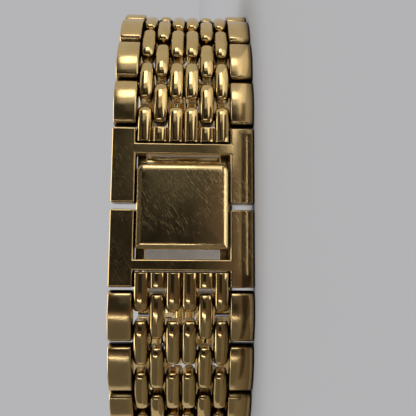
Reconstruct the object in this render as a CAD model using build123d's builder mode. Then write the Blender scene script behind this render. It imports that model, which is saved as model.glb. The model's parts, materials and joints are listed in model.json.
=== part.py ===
"""Rectangular wristwatch on a link bracelet with a butterfly clasp, closed and lying on its side.

The loop stands in the XY plane with the clasp towards -Y, the dial towards +Y and 12 o'clock towards +X.
Every bracelet hinge runs along Z, across the bracelet, so the watch rests on its 9 o'clock side at Z = 0.
"""

from build123d import *
from math import cos, pi, radians, sin, sqrt
import os

os.makedirs("parts", exist_ok=True)

full_turn_angle = 360

# Bracelet width and its columns, from one edge to the other
bracelet_width = 18.0
outer_column = 3.0
inner_column_count = 6
side_gap = 0.1
inner_column = (bracelet_width - 2 * outer_column) / inner_column_count

# Bracelet rows
rows_per_half = 8
hinge_pitch = 3.3
outer_link_gap = 0.3
inner_end_reach = 1.15
link_underside = 1.15
outer_crown_height = 1.5
inner_crown_height = 1.25
inner_shoulder_height = 0.65
inner_crown_flat = 0.85
inner_end_drop = 0.95
inner_end_run = 1.0
outer_shoulder_angle = 35.0
pin_radius = 0.5
running_clearance = 0.04
row_pin_side_count = 6
pin_side_count = 8
boss_side_count = 12
battery_side_count = 24
pin_inset = 1.2

# End combs, which tie the rows to the clasp frames and to the case
comb_reach = 2.7
comb_heel = 1.0
comb_end_reach = 1.1
comb_gap = 0.15
comb_stub_length = 1.9

# Shape of the closed loop
near_bend_angle = 3.5
far_bend_angle = 6.0
tightest_bend_angle = 32.0
bend_fullness_share = 2.5
halving_count = 50
lug_tilt_angle = 20.0

# Clasp frames, seen from outside as an H
frame_centre_gap = 0.8
frame_inner_pocket = 6.2
frame_crossbar = 1.45
frame_link_gap = 0.35
frame_top = 1.15
frame_bevel = 0.3
crossbar_underside = 0.5
strip_depth_gap = 0.1
strip_radius = 0.55
strip_width = 1.15
arm_width = 1.4
arm_edge_inset = 0.4
lug_width = 1.0
strip_gap = 0.1
clasp_pin_radius = 0.35
clasp_pin_tail = 0.8
arm_free_offset = 1.5
arm_hinge_offset = 7.4

# Clasp cover and its housing on the base
cover_length = 10.75
cover_side_gap = 0.15
cover_thickness = 0.8
cover_top = 1.3
cover_bevel = 0.25
cover_upper_corner = 1.05
cover_lower_corner = 0.4
housing_inset = 0.5
housing_wall = 0.9
base_floor = 0.8
catch_length = 0.8
catch_width = 0.9
catch_thickness = 0.8

# Watch case
case_length = 26.6
case_underside = 1.3
case_top = 3.3
case_end_wall = 2.1
case_side_wall = 2.5
bezel_slope = 0.9
window_end_lip = 1.2
window_side_lip = 1.1
window_lip_thickness = 0.4
crystal_ledge = 0.8
crystal_depth = 1.0
crystal_rise = 0.2
crystal_bevel = 0.3
seat_gap = 0.05
gasket_thickness = 0.2
lug_reach = 2.7
lug_root = 1.5
lug_top = 1.15
case_comb_gap = 0.55
back_thickness = 0.9
back_margin = 0.8
back_bevel = 0.4
seal_end_land = 0.5
seal_side_land = 0.45
back_seal_wall = 0.45
back_seal_height = 0.4
back_screw_inset = 0.75
screw_side_count = 2
screw_head_radius = 0.6
screw_head_height = 0.45
screw_radius = 0.35
screw_length = 2.0

# Movement, dial and hands
holder_end_wall = 1.4
holder_side_wall = 1.2
back_clearance = 0.45
dial_thickness = 0.4
dial_margin = 0.2
dial_seat_gap = 0.15
hour_count = 12
marker_height = 0.12
marker_length = 1.3
marker_width = 0.35
marker_end_inset = 1.6
marker_side_inset = 1.5
arbor_radius = 0.25
hour_tube_radius = 0.5
hour_hand_step = 1.2
minute_hand_inset = 1.0
hand_width = 0.6
hand_thickness = 0.12
hand_gap = 0.12
hand_boss = 0.35
battery_height = 1.2
battery_inset = 1.2
battery_arbor_gap = 1.4
stem_radius = 0.4
stem_depth = 3.0
stem_offset = 2.0
stem_level = 0.2
arbor_depth = 1.2
hour_hand_angle = 60.0
crown_radius = 1.6
crown_length = 1.9
crown_gap = 0.15
crown_bevel = 0.25
crown_flute_count = 18
bar_tip_radius = 0.3
bar_tip_reach = 0.7
bar_end_gap = 0.2

# Places along the clasp, worked out from the frame's sizes
frame_start = frame_centre_gap / 2
crossbar_start = frame_start + frame_inner_pocket
crossbar_end = crossbar_start + frame_crossbar
comb_pin_offset = crossbar_end + comb_gap + comb_heel
outer_end_reach = (hinge_pitch - outer_link_gap) / 2
frame_end = comb_pin_offset + comb_reach - outer_end_reach - frame_link_gap
inner_width = bracelet_width - 2 * outer_column
cover_width = inner_width - 2 * cover_side_gap
clasp_line_depth = link_underside + strip_depth_gap + strip_radius

# Places in the case, worked out from its walls and ledges
lug_pin_offset = case_length / 2 + lug_reach
bridge_start = comb_heel + case_comb_gap
bridge_end = lug_reach + lug_root
cavity_length = case_length - 2 * case_end_wall
cavity_width = bracelet_width - 2 * case_side_wall
window_length = cavity_length - 2 * window_end_lip
window_width = cavity_width - 2 * window_side_lip
crystal_length = window_length + 2 * crystal_ledge
crystal_width = window_width + 2 * crystal_ledge
crystal_top = case_top + crystal_rise
crystal_seat = case_top - crystal_depth
cavity_top = crystal_seat - window_lip_thickness
back_length = case_length - 2 * back_margin
back_width = bracelet_width - 2 * back_margin
back_seal_length = cavity_length + 2 * seal_end_land
back_seal_width = cavity_width + 2 * seal_side_land
movement_length = cavity_length - 2 * (holder_end_wall + 2 * seat_gap)
movement_width = cavity_width - 2 * (holder_side_wall + 2 * seat_gap)
dial_top = cavity_top - seat_gap
movement_top = dial_top - dial_thickness - dial_seat_gap
movement_underside = case_underside - back_clearance
battery_near = hour_tube_radius + battery_arbor_gap
battery_radius = (movement_length / 2 - battery_inset - battery_near) / 2
battery_offset = battery_near + battery_radius
marker_column = window_length / 2 - marker_end_inset
marker_row = window_width / 2 - marker_side_inset
minute_hand_length = window_width / 2 - minute_hand_inset
hour_hand_length = minute_hand_length - hour_hand_step


def bend_at(index, count, side_bend):
    """Bend of one hinge in degrees: gentle at the clasp, full at the side of the wrist."""
    share = (index + 0.5) / count
    base = near_bend_angle + (far_bend_angle - near_bend_angle) * share
    return base + (side_bend - base) * sin(pi * share) ** bend_fullness_share


def walk_half(side_bend):
    """Hinge points and chord headings of the half towards +X, with the clasp's hinge line at Y = 0."""
    chords = [comb_reach] + [hinge_pitch] * (2 * rows_per_half - 1) + [comb_reach]
    x, y, heading = comb_pin_offset, 0.0, 0.0
    points, headings = [(x, y)], []
    for index, chord in enumerate(chords):
        heading += bend_at(index, len(chords), side_bend)
        x += chord * cos(radians(heading))
        y += chord * sin(radians(heading))
        headings.append(heading)
        points.append((x, y))
    return points, headings


def close_loop():
    """The half whose last hinge lands on the case's lug pin, found by halving the range of side bends."""
    gentle, tight = near_bend_angle, tightest_bend_angle
    for _ in range(halving_count):
        middle = (gentle + tight) / 2
        points, headings = walk_half(middle)
        if points[-1][0] > lug_pin_offset:
            gentle = middle
        else:
            tight = middle
    return points, headings


hinge_points, chord_headings = close_loop()
loop_height = hinge_points[-1][1]
clasp_line = -(loop_height + crystal_top - cover_top) / 2
case_line = clasp_line + loop_height


def half_plane(side, x, y, heading):
    """Plane of the half towards 12 (side 1) or 6 (side -1): x along the chord, y outwards, z across."""
    edge = bracelet_width if side > 0 else 0
    direction = (side * cos(radians(heading)), sin(radians(heading)), 0)
    return Plane(origin=(side * x, clasp_line + y, edge), x_dir=direction, z_dir=(0, 0, -side))


def chord_plane(side, index):
    """Plane at the middle of one chord, for the row that spans it."""
    (ax, ay), (bx, by) = hinge_points[index], hinge_points[index + 1]
    return half_plane(side, (ax + bx) / 2, (ay + by) / 2, chord_headings[index])


def column_start(number):
    """Distance from the bracelet's edge to the near face of an inner link, columns counted from 1."""
    return outer_column + (number - 1) * inner_column + side_gap / 2


inner_link_width = inner_column - side_gap
outer_link_width = outer_column - side_gap / 2
carrier_columns = (2, 5)
edge_columns = (1, 6)
twin_column = 3
half_pitch = hinge_pitch / 2
bore_radius = pin_radius + running_clearance
inner_end = half_pitch + inner_end_reach
crown_slope = (inner_link_width - inner_crown_flat) / 2


def crowned_bar(lanes, reach):
    """Bar of one or more crowned lanes side by side along X, with a valley between each two."""
    section = [(-link_underside, 0), (inner_shoulder_height, 0)]
    for lane in range(lanes):
        start = lane * inner_column
        end = start + inner_link_width
        valley = end if lane == lanes - 1 else end + side_gap / 2
        section += [
            (inner_crown_height, start + crown_slope),
            (inner_crown_height, end - crown_slope),
            (inner_shoulder_height, valley),
        ]
    section += [(-link_underside, lanes * inner_column - side_gap)]
    with BuildPart() as bar:
        with BuildSketch(Plane.YZ):
            with BuildLine():
                Polyline(*section, close=True)
            make_face()
        extrude(amount=reach, both=True)
    return bar.part


def inner_link(near, far, lanes, bores):
    """Crowned link of one or more lanes from near to far along X, with sloped ends and pin bores."""
    with BuildPart() as link:
        with BuildSketch():
            with BuildLine():
                Polyline(
                    (near, -link_underside),
                    (far, -link_underside),
                    (far, inner_crown_height - inner_end_drop),
                    (far - inner_end_run, inner_crown_height),
                    (near + inner_end_run, inner_crown_height),
                    (near, inner_crown_height - inner_end_drop),
                    close=True,
                )
            make_face()
            if bores:
                with Locations(*[(place, 0) for place in bores]):
                    RegularPolygon(
                        bore_radius, row_pin_side_count, major_radius=False, mode=Mode.SUBTRACT
                    )
        extrude(amount=lanes * inner_column - side_gap)
        add(crowned_bar(lanes, far - near), mode=Mode.INTERSECT)
    return link.part


carried_link = inner_link(-inner_end, inner_end, 1, ())
edge_link = inner_link(-inner_end, inner_end, 1, (-half_pitch, half_pitch))
twin_link = inner_link(-inner_end, inner_end, 2, (-half_pitch, half_pitch))

with BuildPart() as outer_link:
    shoulder = radians(outer_shoulder_angle)
    foot = half_pitch + sqrt(outer_end_reach**2 - link_underside**2)
    tip = half_pitch + outer_end_reach
    brow = half_pitch + outer_end_reach * cos(shoulder)
    brow_height = outer_end_reach * sin(shoulder)
    with BuildSketch():
        with BuildLine():
            Polyline((-tip, 0), (-foot, -link_underside), (foot, -link_underside), (tip, 0))
            RadiusArc((tip, 0), (brow, brow_height), -outer_end_reach)
            ThreePointArc((brow, brow_height), (0, outer_crown_height), (-brow, brow_height))
            RadiusArc((-brow, brow_height), (-tip, 0), -outer_end_reach)
        make_face()
    extrude(amount=outer_link_width)


def save(piece, name):
    """Label a finished piece and write its STEP file."""
    piece.label = name
    export_step(piece, f"parts/{name}.step")


def both_edges(plane, inset, width):
    """The plane moved to where a piece of that width starts, at the same inset from either bracelet edge."""
    return plane.offset(inset), plane.offset(bracelet_width - inset - width)


# Bracelet rows: a carrier row has the outer links and its pressed pins, a bridging row hangs between two pins
for side, hour in ((1, "12"), (-1, "6")):
    for number in range(1, rows_per_half + 1):
        plane = chord_plane(side, 2 * number - 1)
        with BuildPart() as carrier_row:
            with Locations(*both_edges(plane, 0, outer_link_width)):
                add(outer_link.part)
            with Locations(*[plane.offset(column_start(column)) for column in carrier_columns]):
                add(carried_link)
            with BuildSketch(plane.offset(pin_inset)):
                with Locations((-half_pitch, 0), (half_pitch, 0)):
                    RegularPolygon(pin_radius, row_pin_side_count)
            extrude(amount=bracelet_width - 2 * pin_inset)
        save(carrier_row.part, f"carrier_row_{hour}_{number}")
    for number in range(1, rows_per_half):
        plane = chord_plane(side, 2 * number)
        with BuildPart() as bridging_row:
            with Locations(*[plane.offset(column_start(column)) for column in edge_columns]):
                add(edge_link)
            with Locations(plane.offset(column_start(twin_column))):
                add(twin_link)
        save(bridging_row.part, f"bridging_row_{hour}_{number}")

# End comb: six lobes joined at the heel, with short stubs where the carrier row's links reach in
comb_tip = comb_reach + comb_end_reach
stub_tip = comb_stub_length - comb_heel
slot_width = inner_column + side_gap
tall = 2 * (inner_crown_height + link_underside)
comb_block = inner_link(-comb_heel, comb_tip, inner_column_count, (0, comb_reach))
with BuildPart() as comb:
    add(comb_block)
    for column in carrier_columns:
        with BuildSketch(Plane.XY.offset((column - 1) * inner_column - side_gap)):
            with Locations(((stub_tip + comb_tip) / 2, 0)):
                Rectangle(comb_tip - stub_tip, tall)
        extrude(amount=slot_width, mode=Mode.SUBTRACT)

for side, hour in ((1, "12"), (-1, "6")):
    frame_chord = half_plane(side, *hinge_points[0], chord_headings[0])
    with BuildPart() as clasp_comb:
        with Locations(frame_chord.offset(column_start(1))):
            add(comb.part)
    save(clasp_comb.part, f"clasp_comb_{hour}")
    away = half_plane(-side, -hinge_points[-1][0], hinge_points[-1][1], -chord_headings[-1])
    with BuildPart() as case_comb:
        with Locations(away.offset(column_start(1))):
            add(comb.part)
    save(case_comb.part, f"case_comb_{hour}")

# Clasp frames: two rails and a crossbar with bevelled tops, a hinge lug under each rail
strip_start = outer_column + side_gap / 2
lug_start = arm_edge_inset + arm_width + strip_gap
stub_length = outer_column - side_gap / 2 - arm_edge_inset - arm_width
half_side = full_turn_angle / (2 * pin_side_count)
for side, hour in ((1, "12"), (-1, "6")):
    plane = half_plane(side, 0, 0, 0)
    rail_middle = (frame_start + frame_end) / 2
    with BuildPart() as clasp_frame:
        with BuildSketch(*both_edges(plane, 0, outer_column)):
            with Locations((rail_middle, (frame_top - link_underside) / 2)):
                Rectangle(frame_end - frame_start, frame_top + link_underside)
        extrude(amount=outer_column)
        with BuildSketch(plane.offset(outer_column)):
            with Locations(((crossbar_start + crossbar_end) / 2, (frame_top - crossbar_underside) / 2)):
                Rectangle(frame_crossbar, frame_top + crossbar_underside)
        extrude(amount=inner_width)
        chamfer(clasp_frame.faces().sort_by(Axis.Y)[0].edges(), frame_bevel)
        with BuildSketch(*both_edges(plane, lug_start, lug_width)):
            with Locations((arm_free_offset, -clasp_line_depth)):
                Circle(strip_radius)
            with Locations((arm_free_offset, -(clasp_line_depth + link_underside) / 2)):
                Rectangle(2 * strip_radius, clasp_line_depth - link_underside)
        extrude(amount=lug_width)
        with BuildSketch(*both_edges(plane, lug_start, lug_width)):
            with Locations((arm_free_offset, -clasp_line_depth)):
                RegularPolygon(
                    clasp_pin_radius + running_clearance, pin_side_count, major_radius=False
                )
        extrude(amount=lug_width, mode=Mode.SUBTRACT)
        with BuildSketch(plane.offset(pin_inset)):
            with Locations((comb_pin_offset, 0)):
                RegularPolygon(pin_radius, pin_side_count, major_radius=False)
        extrude(amount=bracelet_width - 2 * pin_inset, mode=Mode.SUBTRACT)
    save(clasp_frame.part, f"clasp_frame_{hour}")

    with BuildPart() as comb_pin:
        with BuildSketch(plane.offset(pin_inset)):
            with Locations((comb_pin_offset, 0)):
                Circle(pin_radius)
        extrude(amount=bracelet_width - 2 * pin_inset)
    save(comb_pin.part, f"clasp_comb_pin_{hour}")

    with BuildPart() as clasp_arm:
        with BuildSketch(*both_edges(plane, arm_edge_inset, arm_width)):
            with Locations(((arm_free_offset + arm_hinge_offset) / 2, -clasp_line_depth)):
                Rectangle(arm_hinge_offset - arm_free_offset, 2 * strip_radius)
            with Locations(
                (arm_free_offset, -clasp_line_depth), (arm_hinge_offset, -clasp_line_depth)
            ):
                RegularPolygon(strip_radius, pin_side_count, major_radius=False, rotation=half_side)
        extrude(amount=arm_width)
        with BuildSketch(*both_edges(plane, arm_edge_inset + arm_width, stub_length)):
            with Locations((arm_hinge_offset, -clasp_line_depth)):
                RegularPolygon(strip_radius, pin_side_count, major_radius=False, rotation=half_side)
        extrude(amount=stub_length)
        with BuildSketch(plane.offset(clasp_pin_tail)):
            with Locations((arm_hinge_offset, -clasp_line_depth)):
                RegularPolygon(clasp_pin_radius, pin_side_count)
        extrude(amount=bracelet_width - 2 * clasp_pin_tail, mode=Mode.SUBTRACT)
        with BuildSketch(*both_edges(plane, arm_edge_inset + arm_width, stub_length)):
            with Locations((arm_free_offset, -clasp_line_depth)):
                RegularPolygon(clasp_pin_radius, pin_side_count)
        extrude(amount=stub_length)
    save(clasp_arm.part, f"clasp_arm_{hour}")

    with BuildPart() as arm_pin:
        with BuildSketch(plane.offset(clasp_pin_tail)):
            with Locations((arm_hinge_offset, -clasp_line_depth)):
                RegularPolygon(clasp_pin_radius, pin_side_count)
        extrude(amount=bracelet_width - 2 * clasp_pin_tail)
    save(arm_pin.part, f"arm_hinge_pin_{hour}")


def clasp_plan(height):
    """Plane facing out of the clasp at a height over its hinge line: x along the bracelet, y across."""
    return Plane(origin=(0, clasp_line - height, bracelet_width / 2), x_dir=(1, 0, 0), z_dir=(0, -1, 0))


# Clasp base: two side strips, a floor, and the housing that holds the cover plate and the catches
floor_underside = -clasp_line_depth - strip_radius
floor_top = floor_underside + base_floor
cover_underside = cover_top - cover_thickness
housing_length = cover_length - 2 * housing_inset
housing_width = cover_width - 2 * housing_inset
with BuildPart() as clasp_base:
    base_plane = half_plane(1, 0, 0, 0)
    with BuildSketch(*both_edges(base_plane, strip_start, strip_width)):
        with Locations((0, -clasp_line_depth)):
            SlotCenterToCenter(2 * arm_hinge_offset, 2 * strip_radius)
    extrude(amount=strip_width)
    with BuildSketch(clasp_plan(floor_underside)):
        Rectangle(housing_length, bracelet_width - 2 * strip_start)
    extrude(amount=base_floor)
    with BuildSketch(clasp_plan(floor_top)):
        Rectangle(housing_length, housing_width)
        Rectangle(housing_length - 2 * housing_wall, housing_width - 2 * housing_wall, mode=Mode.SUBTRACT)
    extrude(amount=cover_underside - floor_top)
    with BuildSketch(clasp_plan(cover_underside - catch_thickness)):
        catch_spacing = housing_width - catch_width
        with Locations(((housing_length + catch_length) / 2, 0)):
            with GridLocations(catch_length, catch_spacing, 1, 2):
                Rectangle(catch_length, catch_width)
    extrude(amount=catch_thickness)
    with BuildSketch(base_plane.offset(strip_start)):
        with Locations((-arm_hinge_offset, -clasp_line_depth), (arm_hinge_offset, -clasp_line_depth)):
            RegularPolygon(clasp_pin_radius + running_clearance, pin_side_count, major_radius=False)
    extrude(amount=bracelet_width - 2 * strip_start, mode=Mode.SUBTRACT)
save(clasp_base.part, "clasp_base")

with BuildPart() as cover_plate:
    with BuildSketch(clasp_plan(cover_underside)):
        Rectangle(cover_length, cover_width)
        fillet(vertices().group_by(Axis.X)[-1], cover_upper_corner)
        fillet(vertices().group_by(Axis.X)[0], cover_lower_corner)
    extrude(amount=cover_thickness)
    chamfer(cover_plate.faces().sort_by(Axis.Y)[0].edges(), cover_bevel)
    with BuildSketch(clasp_plan(cover_underside)):
        rim = 2 * (housing_wall + seat_gap)
        Rectangle(housing_length - rim, housing_width - rim)
    extrude(amount=-housing_inset)
save(cover_plate.part, "clasp_cover_plate")


def dial_plan(height):
    """Plane facing the wearer at a height over the lug hinge line: x towards 12, y towards 9."""
    return Plane(origin=(0, case_line + height, bracelet_width / 2), x_dir=(1, 0, 0), z_dir=(0, 1, 0))


# Case middle: body with a sloped bezel, and at each end a bridge and two lugs tilted along the bracelet
screw_spots = (back_length - 2 * back_screw_inset, back_width - 2 * back_screw_inset)
with BuildPart() as case_middle:
    with BuildSketch(dial_plan(-case_underside)):
        Rectangle(case_length, bracelet_width)
    extrude(amount=case_underside + case_top)
    chamfer(case_middle.faces().sort_by(Axis.Y)[-1].edges(), bezel_slope)
    for side in (1, -1):
        plane = half_plane(side, lug_pin_offset, loop_height, full_turn_angle / 2 - lug_tilt_angle)
        lug_tip = comb_pin_offset - frame_end
        with BuildSketch(*both_edges(plane, 0, outer_column)):
            with Locations(((lug_tip + bridge_end) / 2, (lug_top - link_underside) / 2)):
                Rectangle(bridge_end - lug_tip, lug_top + link_underside)
        extrude(amount=outer_column)
        with BuildSketch(plane.offset(outer_column)):
            with Locations(((bridge_start + bridge_end) / 2, (lug_top - link_underside) / 2)):
                Rectangle(bridge_end - bridge_start, lug_top + link_underside)
        extrude(amount=inner_width)
        tip_inset = outer_column - bar_tip_reach - side_gap
        with BuildSketch(plane.offset(tip_inset)):
            RegularPolygon(bar_tip_radius + running_clearance, pin_side_count, major_radius=False)
        extrude(amount=bracelet_width - 2 * tip_inset, mode=Mode.SUBTRACT)
    with BuildSketch(dial_plan(-case_underside)):
        Rectangle(cavity_length, cavity_width)
    extrude(amount=case_underside + cavity_top, mode=Mode.SUBTRACT)
    with BuildSketch(dial_plan(-case_underside)):
        Rectangle(back_seal_length, back_seal_width)
    extrude(amount=back_seal_height, mode=Mode.SUBTRACT)
    with BuildSketch(dial_plan(cavity_top)):
        Rectangle(window_length, window_width)
    extrude(amount=crystal_seat - cavity_top, mode=Mode.SUBTRACT)
    with BuildSketch(dial_plan(crystal_seat)):
        Rectangle(crystal_length + 2 * seat_gap, crystal_width + 2 * seat_gap)
    extrude(amount=case_top - crystal_seat, mode=Mode.SUBTRACT)
    with BuildSketch(dial_plan(-case_underside)):
        with GridLocations(*screw_spots, screw_side_count, screw_side_count):
            RegularPolygon(screw_radius, pin_side_count)
    extrude(amount=screw_length, mode=Mode.SUBTRACT)
    with BuildSketch(Plane.XY.offset(bracelet_width)):
        with Locations((stem_offset, case_line + stem_level)):
            RegularPolygon(stem_radius + running_clearance, pin_side_count, major_radius=False)
    extrude(amount=-(bracelet_width - cavity_width) / 2, mode=Mode.SUBTRACT)
save(case_middle.part, "case_middle")

with BuildPart() as crystal_gasket:
    with BuildSketch(dial_plan(crystal_seat)):
        Rectangle(crystal_length, crystal_width)
        Rectangle(window_length, window_width, mode=Mode.SUBTRACT)
    extrude(amount=gasket_thickness)
save(crystal_gasket.part, "crystal_gasket")

with BuildPart() as crystal:
    with BuildSketch(dial_plan(crystal_seat + gasket_thickness)):
        Rectangle(crystal_length, crystal_width)
    extrude(amount=crystal_top - crystal_seat - gasket_thickness)
    chamfer(crystal.faces().sort_by(Axis.Y)[-1].edges(), crystal_bevel)
save(crystal.part, "crystal")

# Case back with its seal and four screws
with BuildPart() as case_back:
    with BuildSketch(dial_plan(-case_underside)):
        Rectangle(back_length, back_width)
    extrude(amount=-back_thickness)
    chamfer(case_back.faces().sort_by(Axis.Y)[0].edges(), back_bevel)
    with BuildSketch(dial_plan(-case_underside)):
        with GridLocations(*screw_spots, screw_side_count, screw_side_count):
            RegularPolygon(screw_radius, pin_side_count)
    extrude(amount=-back_thickness, mode=Mode.SUBTRACT)
    with BuildSketch(dial_plan(-case_underside - back_thickness)):
        with GridLocations(*screw_spots, screw_side_count, screw_side_count):
            RegularPolygon(screw_head_radius + seat_gap, pin_side_count)
    extrude(amount=screw_head_height, mode=Mode.SUBTRACT)
save(case_back.part, "case_back")

with BuildPart() as back_screws:
    with BuildSketch(dial_plan(-case_underside - back_thickness)):
        with GridLocations(*screw_spots, screw_side_count, screw_side_count):
            RegularPolygon(screw_head_radius, pin_side_count)
    extrude(amount=screw_head_height)
    with BuildSketch(dial_plan(-case_underside - back_thickness + screw_head_height)):
        with GridLocations(*screw_spots, screw_side_count, screw_side_count):
            RegularPolygon(screw_radius, pin_side_count)
    extrude(amount=screw_length)
save(back_screws.part, "back_screws")

with BuildPart() as back_gasket:
    with BuildSketch(dial_plan(-case_underside)):
        Rectangle(back_seal_length - 2 * seat_gap, back_seal_width - 2 * seat_gap)
        wall = 2 * back_seal_wall
        Rectangle(back_seal_length - wall, back_seal_width - wall, mode=Mode.SUBTRACT)
    extrude(amount=back_seal_height)
save(back_gasket.part, "back_gasket")

# Movement in its holder ring, with the battery in a pocket open at the back
movement_height = movement_underside + movement_top
with BuildPart() as movement:
    with BuildSketch(dial_plan(-movement_underside)):
        Rectangle(movement_length, movement_width)
    extrude(amount=movement_height)
    with BuildSketch(dial_plan(-movement_underside)):
        with Locations((-battery_offset, 0)):
            RegularPolygon(battery_radius + seat_gap, battery_side_count, major_radius=False)
    extrude(amount=battery_height + seat_gap, mode=Mode.SUBTRACT)
    with BuildSketch(dial_plan(movement_top)):
        RegularPolygon(hour_tube_radius + running_clearance, boss_side_count, major_radius=False)
    extrude(amount=-arbor_depth, mode=Mode.SUBTRACT)
    with BuildSketch(Plane.XY.offset(bracelet_width)):
        with Locations((stem_offset, case_line + stem_level)):
            RegularPolygon(stem_radius + running_clearance, pin_side_count, major_radius=False)
    extrude(amount=-(bracelet_width - movement_width) / 2 - stem_depth, mode=Mode.SUBTRACT)
save(movement.part, "movement")

with BuildPart() as movement_holder:
    with BuildSketch(dial_plan(-movement_underside)):
        Rectangle(cavity_length - 2 * seat_gap, cavity_width - 2 * seat_gap)
        Rectangle(movement_length + 2 * seat_gap, movement_width + 2 * seat_gap, mode=Mode.SUBTRACT)
    extrude(amount=movement_height)
    with BuildSketch(Plane.XY.offset(bracelet_width)):
        with Locations((stem_offset, case_line + stem_level)):
            RegularPolygon(stem_radius + running_clearance, pin_side_count, major_radius=False)
    extrude(amount=-(bracelet_width - movement_width) / 2, mode=Mode.SUBTRACT)
save(movement_holder.part, "movement_holder")

with BuildPart() as battery:
    with BuildSketch(dial_plan(-movement_underside)):
        with Locations((-battery_offset, 0)):
            RegularPolygon(battery_radius, battery_side_count)
    extrude(amount=battery_height)
save(battery.part, "battery")

# Dial with twelve batons set where the hour lines meet a rectangle
hour_angle = full_turn_angle / hour_count
with BuildPart() as dial:
    with BuildSketch(dial_plan(dial_top)):
        Rectangle(cavity_length - 2 * dial_margin, cavity_width - 2 * dial_margin)
    extrude(amount=-dial_thickness)
    with BuildSketch(dial_plan(dial_top)):
        for hour_number in range(hour_count):
            turn = radians(hour_angle * hour_number)
            shares = (abs(cos(turn)) / marker_column, abs(sin(turn)) / marker_row)
            with Locations((cos(turn) / max(shares), sin(turn) / max(shares))):
                Rectangle(marker_length, marker_width, rotation=hour_angle * hour_number)
    extrude(amount=marker_height)
    with BuildSketch(dial_plan(dial_top - dial_thickness)):
        RegularPolygon(hour_tube_radius + hand_gap, boss_side_count, major_radius=False)
    extrude(amount=dial_thickness, mode=Mode.SUBTRACT)
save(dial.part, "dial")

# Hands: the hour hand on its pipe, the minute hand on the arbor inside it
hour_hand_height = dial_top + marker_height + hand_gap
minute_hand_height = hour_hand_height + hand_thickness + hand_gap
pipe_foot = movement_top - arbor_depth + hand_gap
with BuildPart() as hour_hand:
    with BuildSketch(dial_plan(hour_hand_height)):
        RegularPolygon(hour_tube_radius + hand_boss, boss_side_count)
        with PolarLocations(hour_hand_length / 2, 1, start_angle=hour_hand_angle):
            Rectangle(hour_hand_length, hand_width)
    extrude(amount=hand_thickness)
    with BuildSketch(dial_plan(pipe_foot)):
        RegularPolygon(hour_tube_radius, boss_side_count)
    extrude(amount=hour_hand_height - pipe_foot)
    with BuildSketch(dial_plan(pipe_foot)):
        RegularPolygon(arbor_radius + running_clearance, pin_side_count, major_radius=False)
    extrude(amount=hour_hand_height + hand_thickness - pipe_foot, mode=Mode.SUBTRACT)
save(hour_hand.part, "hour_hand")

with BuildPart() as minute_hand:
    with BuildSketch(dial_plan(minute_hand_height)):
        RegularPolygon(arbor_radius + hand_boss, boss_side_count)
        with Locations((minute_hand_length / 2, 0)):
            Rectangle(minute_hand_length, hand_width)
    extrude(amount=hand_thickness)
    with BuildSketch(dial_plan(pipe_foot)):
        Circle(arbor_radius)
    extrude(amount=minute_hand_height - pipe_foot)
save(minute_hand.part, "minute_hand")

# Setting stem and crown at 3 o'clock
stem_foot = (bracelet_width + movement_width) / 2 - stem_depth + seat_gap
crown_foot = bracelet_width + crown_gap
stem_head = crown_foot + crown_length / 2
with BuildPart() as winding_stem:
    with BuildSketch(Plane.XY.offset(stem_foot)):
        with Locations((stem_offset, case_line + stem_level)):
            Circle(stem_radius)
    extrude(amount=stem_head - stem_foot)
save(winding_stem.part, "winding_stem")

with BuildPart() as crown:
    with BuildSketch(Plane.XY.offset(crown_foot)):
        with Locations((stem_offset, case_line + stem_level)):
            RegularPolygon(crown_radius, crown_flute_count)
    extrude(amount=crown_length)
    chamfer(crown.faces().sort_by(Axis.Z)[-1].edges(), crown_bevel)
    with BuildSketch(Plane.XY.offset(crown_foot)):
        with Locations((stem_offset, case_line + stem_level)):
            RegularPolygon(stem_radius + running_clearance, pin_side_count, major_radius=False)
    extrude(amount=stem_head + seat_gap - crown_foot, mode=Mode.SUBTRACT)
save(crown.part, "crown")

# Spring bars: the one at 6 has its tips in the lugs, the one at 12 is drawn with its tips pressed in
for side, hour, tip_reach in ((1, "12", 0), (-1, "6", bar_tip_reach)):
    plane = half_plane(side, *hinge_points[-1], chord_headings[-1])
    barrel_inset = outer_column + bar_end_gap
    with BuildPart() as spring_bar:
        with BuildSketch(plane.offset(barrel_inset)):
            Circle(pin_radius)
        extrude(amount=bracelet_width - 2 * barrel_inset)
        if tip_reach:
            with BuildSketch(plane.offset(outer_column - tip_reach)):
                RegularPolygon(bar_tip_radius, pin_side_count)
            extrude(amount=bracelet_width - 2 * (outer_column - tip_reach))
    save(spring_bar.part, f"spring_bar_{hour}")
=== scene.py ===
"""Rectangular wristwatch on a link bracelet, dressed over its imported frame.

Lengths are millimetres in the shared frame and become metres in the meshes: the closed watch lies on
its 9 o'clock edge at z = 0, the clasp looks towards -y, the dial towards +y and 12 o'clock towards +x.
"""

import json
import logging
import math
from collections.abc import Sequence
from dataclasses import dataclass
from enum import Enum
from functools import cache
from typing import Any

import bpy
import numpy as np
from mathutils import Matrix, Vector


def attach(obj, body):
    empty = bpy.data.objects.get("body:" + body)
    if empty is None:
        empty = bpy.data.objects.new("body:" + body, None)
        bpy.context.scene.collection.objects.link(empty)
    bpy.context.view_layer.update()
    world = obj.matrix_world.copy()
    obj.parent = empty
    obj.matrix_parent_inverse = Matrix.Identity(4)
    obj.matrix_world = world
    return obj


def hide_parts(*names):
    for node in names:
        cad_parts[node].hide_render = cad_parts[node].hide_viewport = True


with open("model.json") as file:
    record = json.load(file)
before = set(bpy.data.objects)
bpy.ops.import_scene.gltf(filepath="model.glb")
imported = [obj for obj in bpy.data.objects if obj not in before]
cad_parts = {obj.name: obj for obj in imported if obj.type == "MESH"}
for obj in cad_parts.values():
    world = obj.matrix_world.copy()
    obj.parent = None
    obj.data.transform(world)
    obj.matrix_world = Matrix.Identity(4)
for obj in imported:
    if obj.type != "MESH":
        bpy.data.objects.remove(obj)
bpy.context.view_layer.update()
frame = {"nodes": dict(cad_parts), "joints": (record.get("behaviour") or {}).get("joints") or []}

Pair = tuple[float, float]
Triple = tuple[float, float, float]

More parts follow.
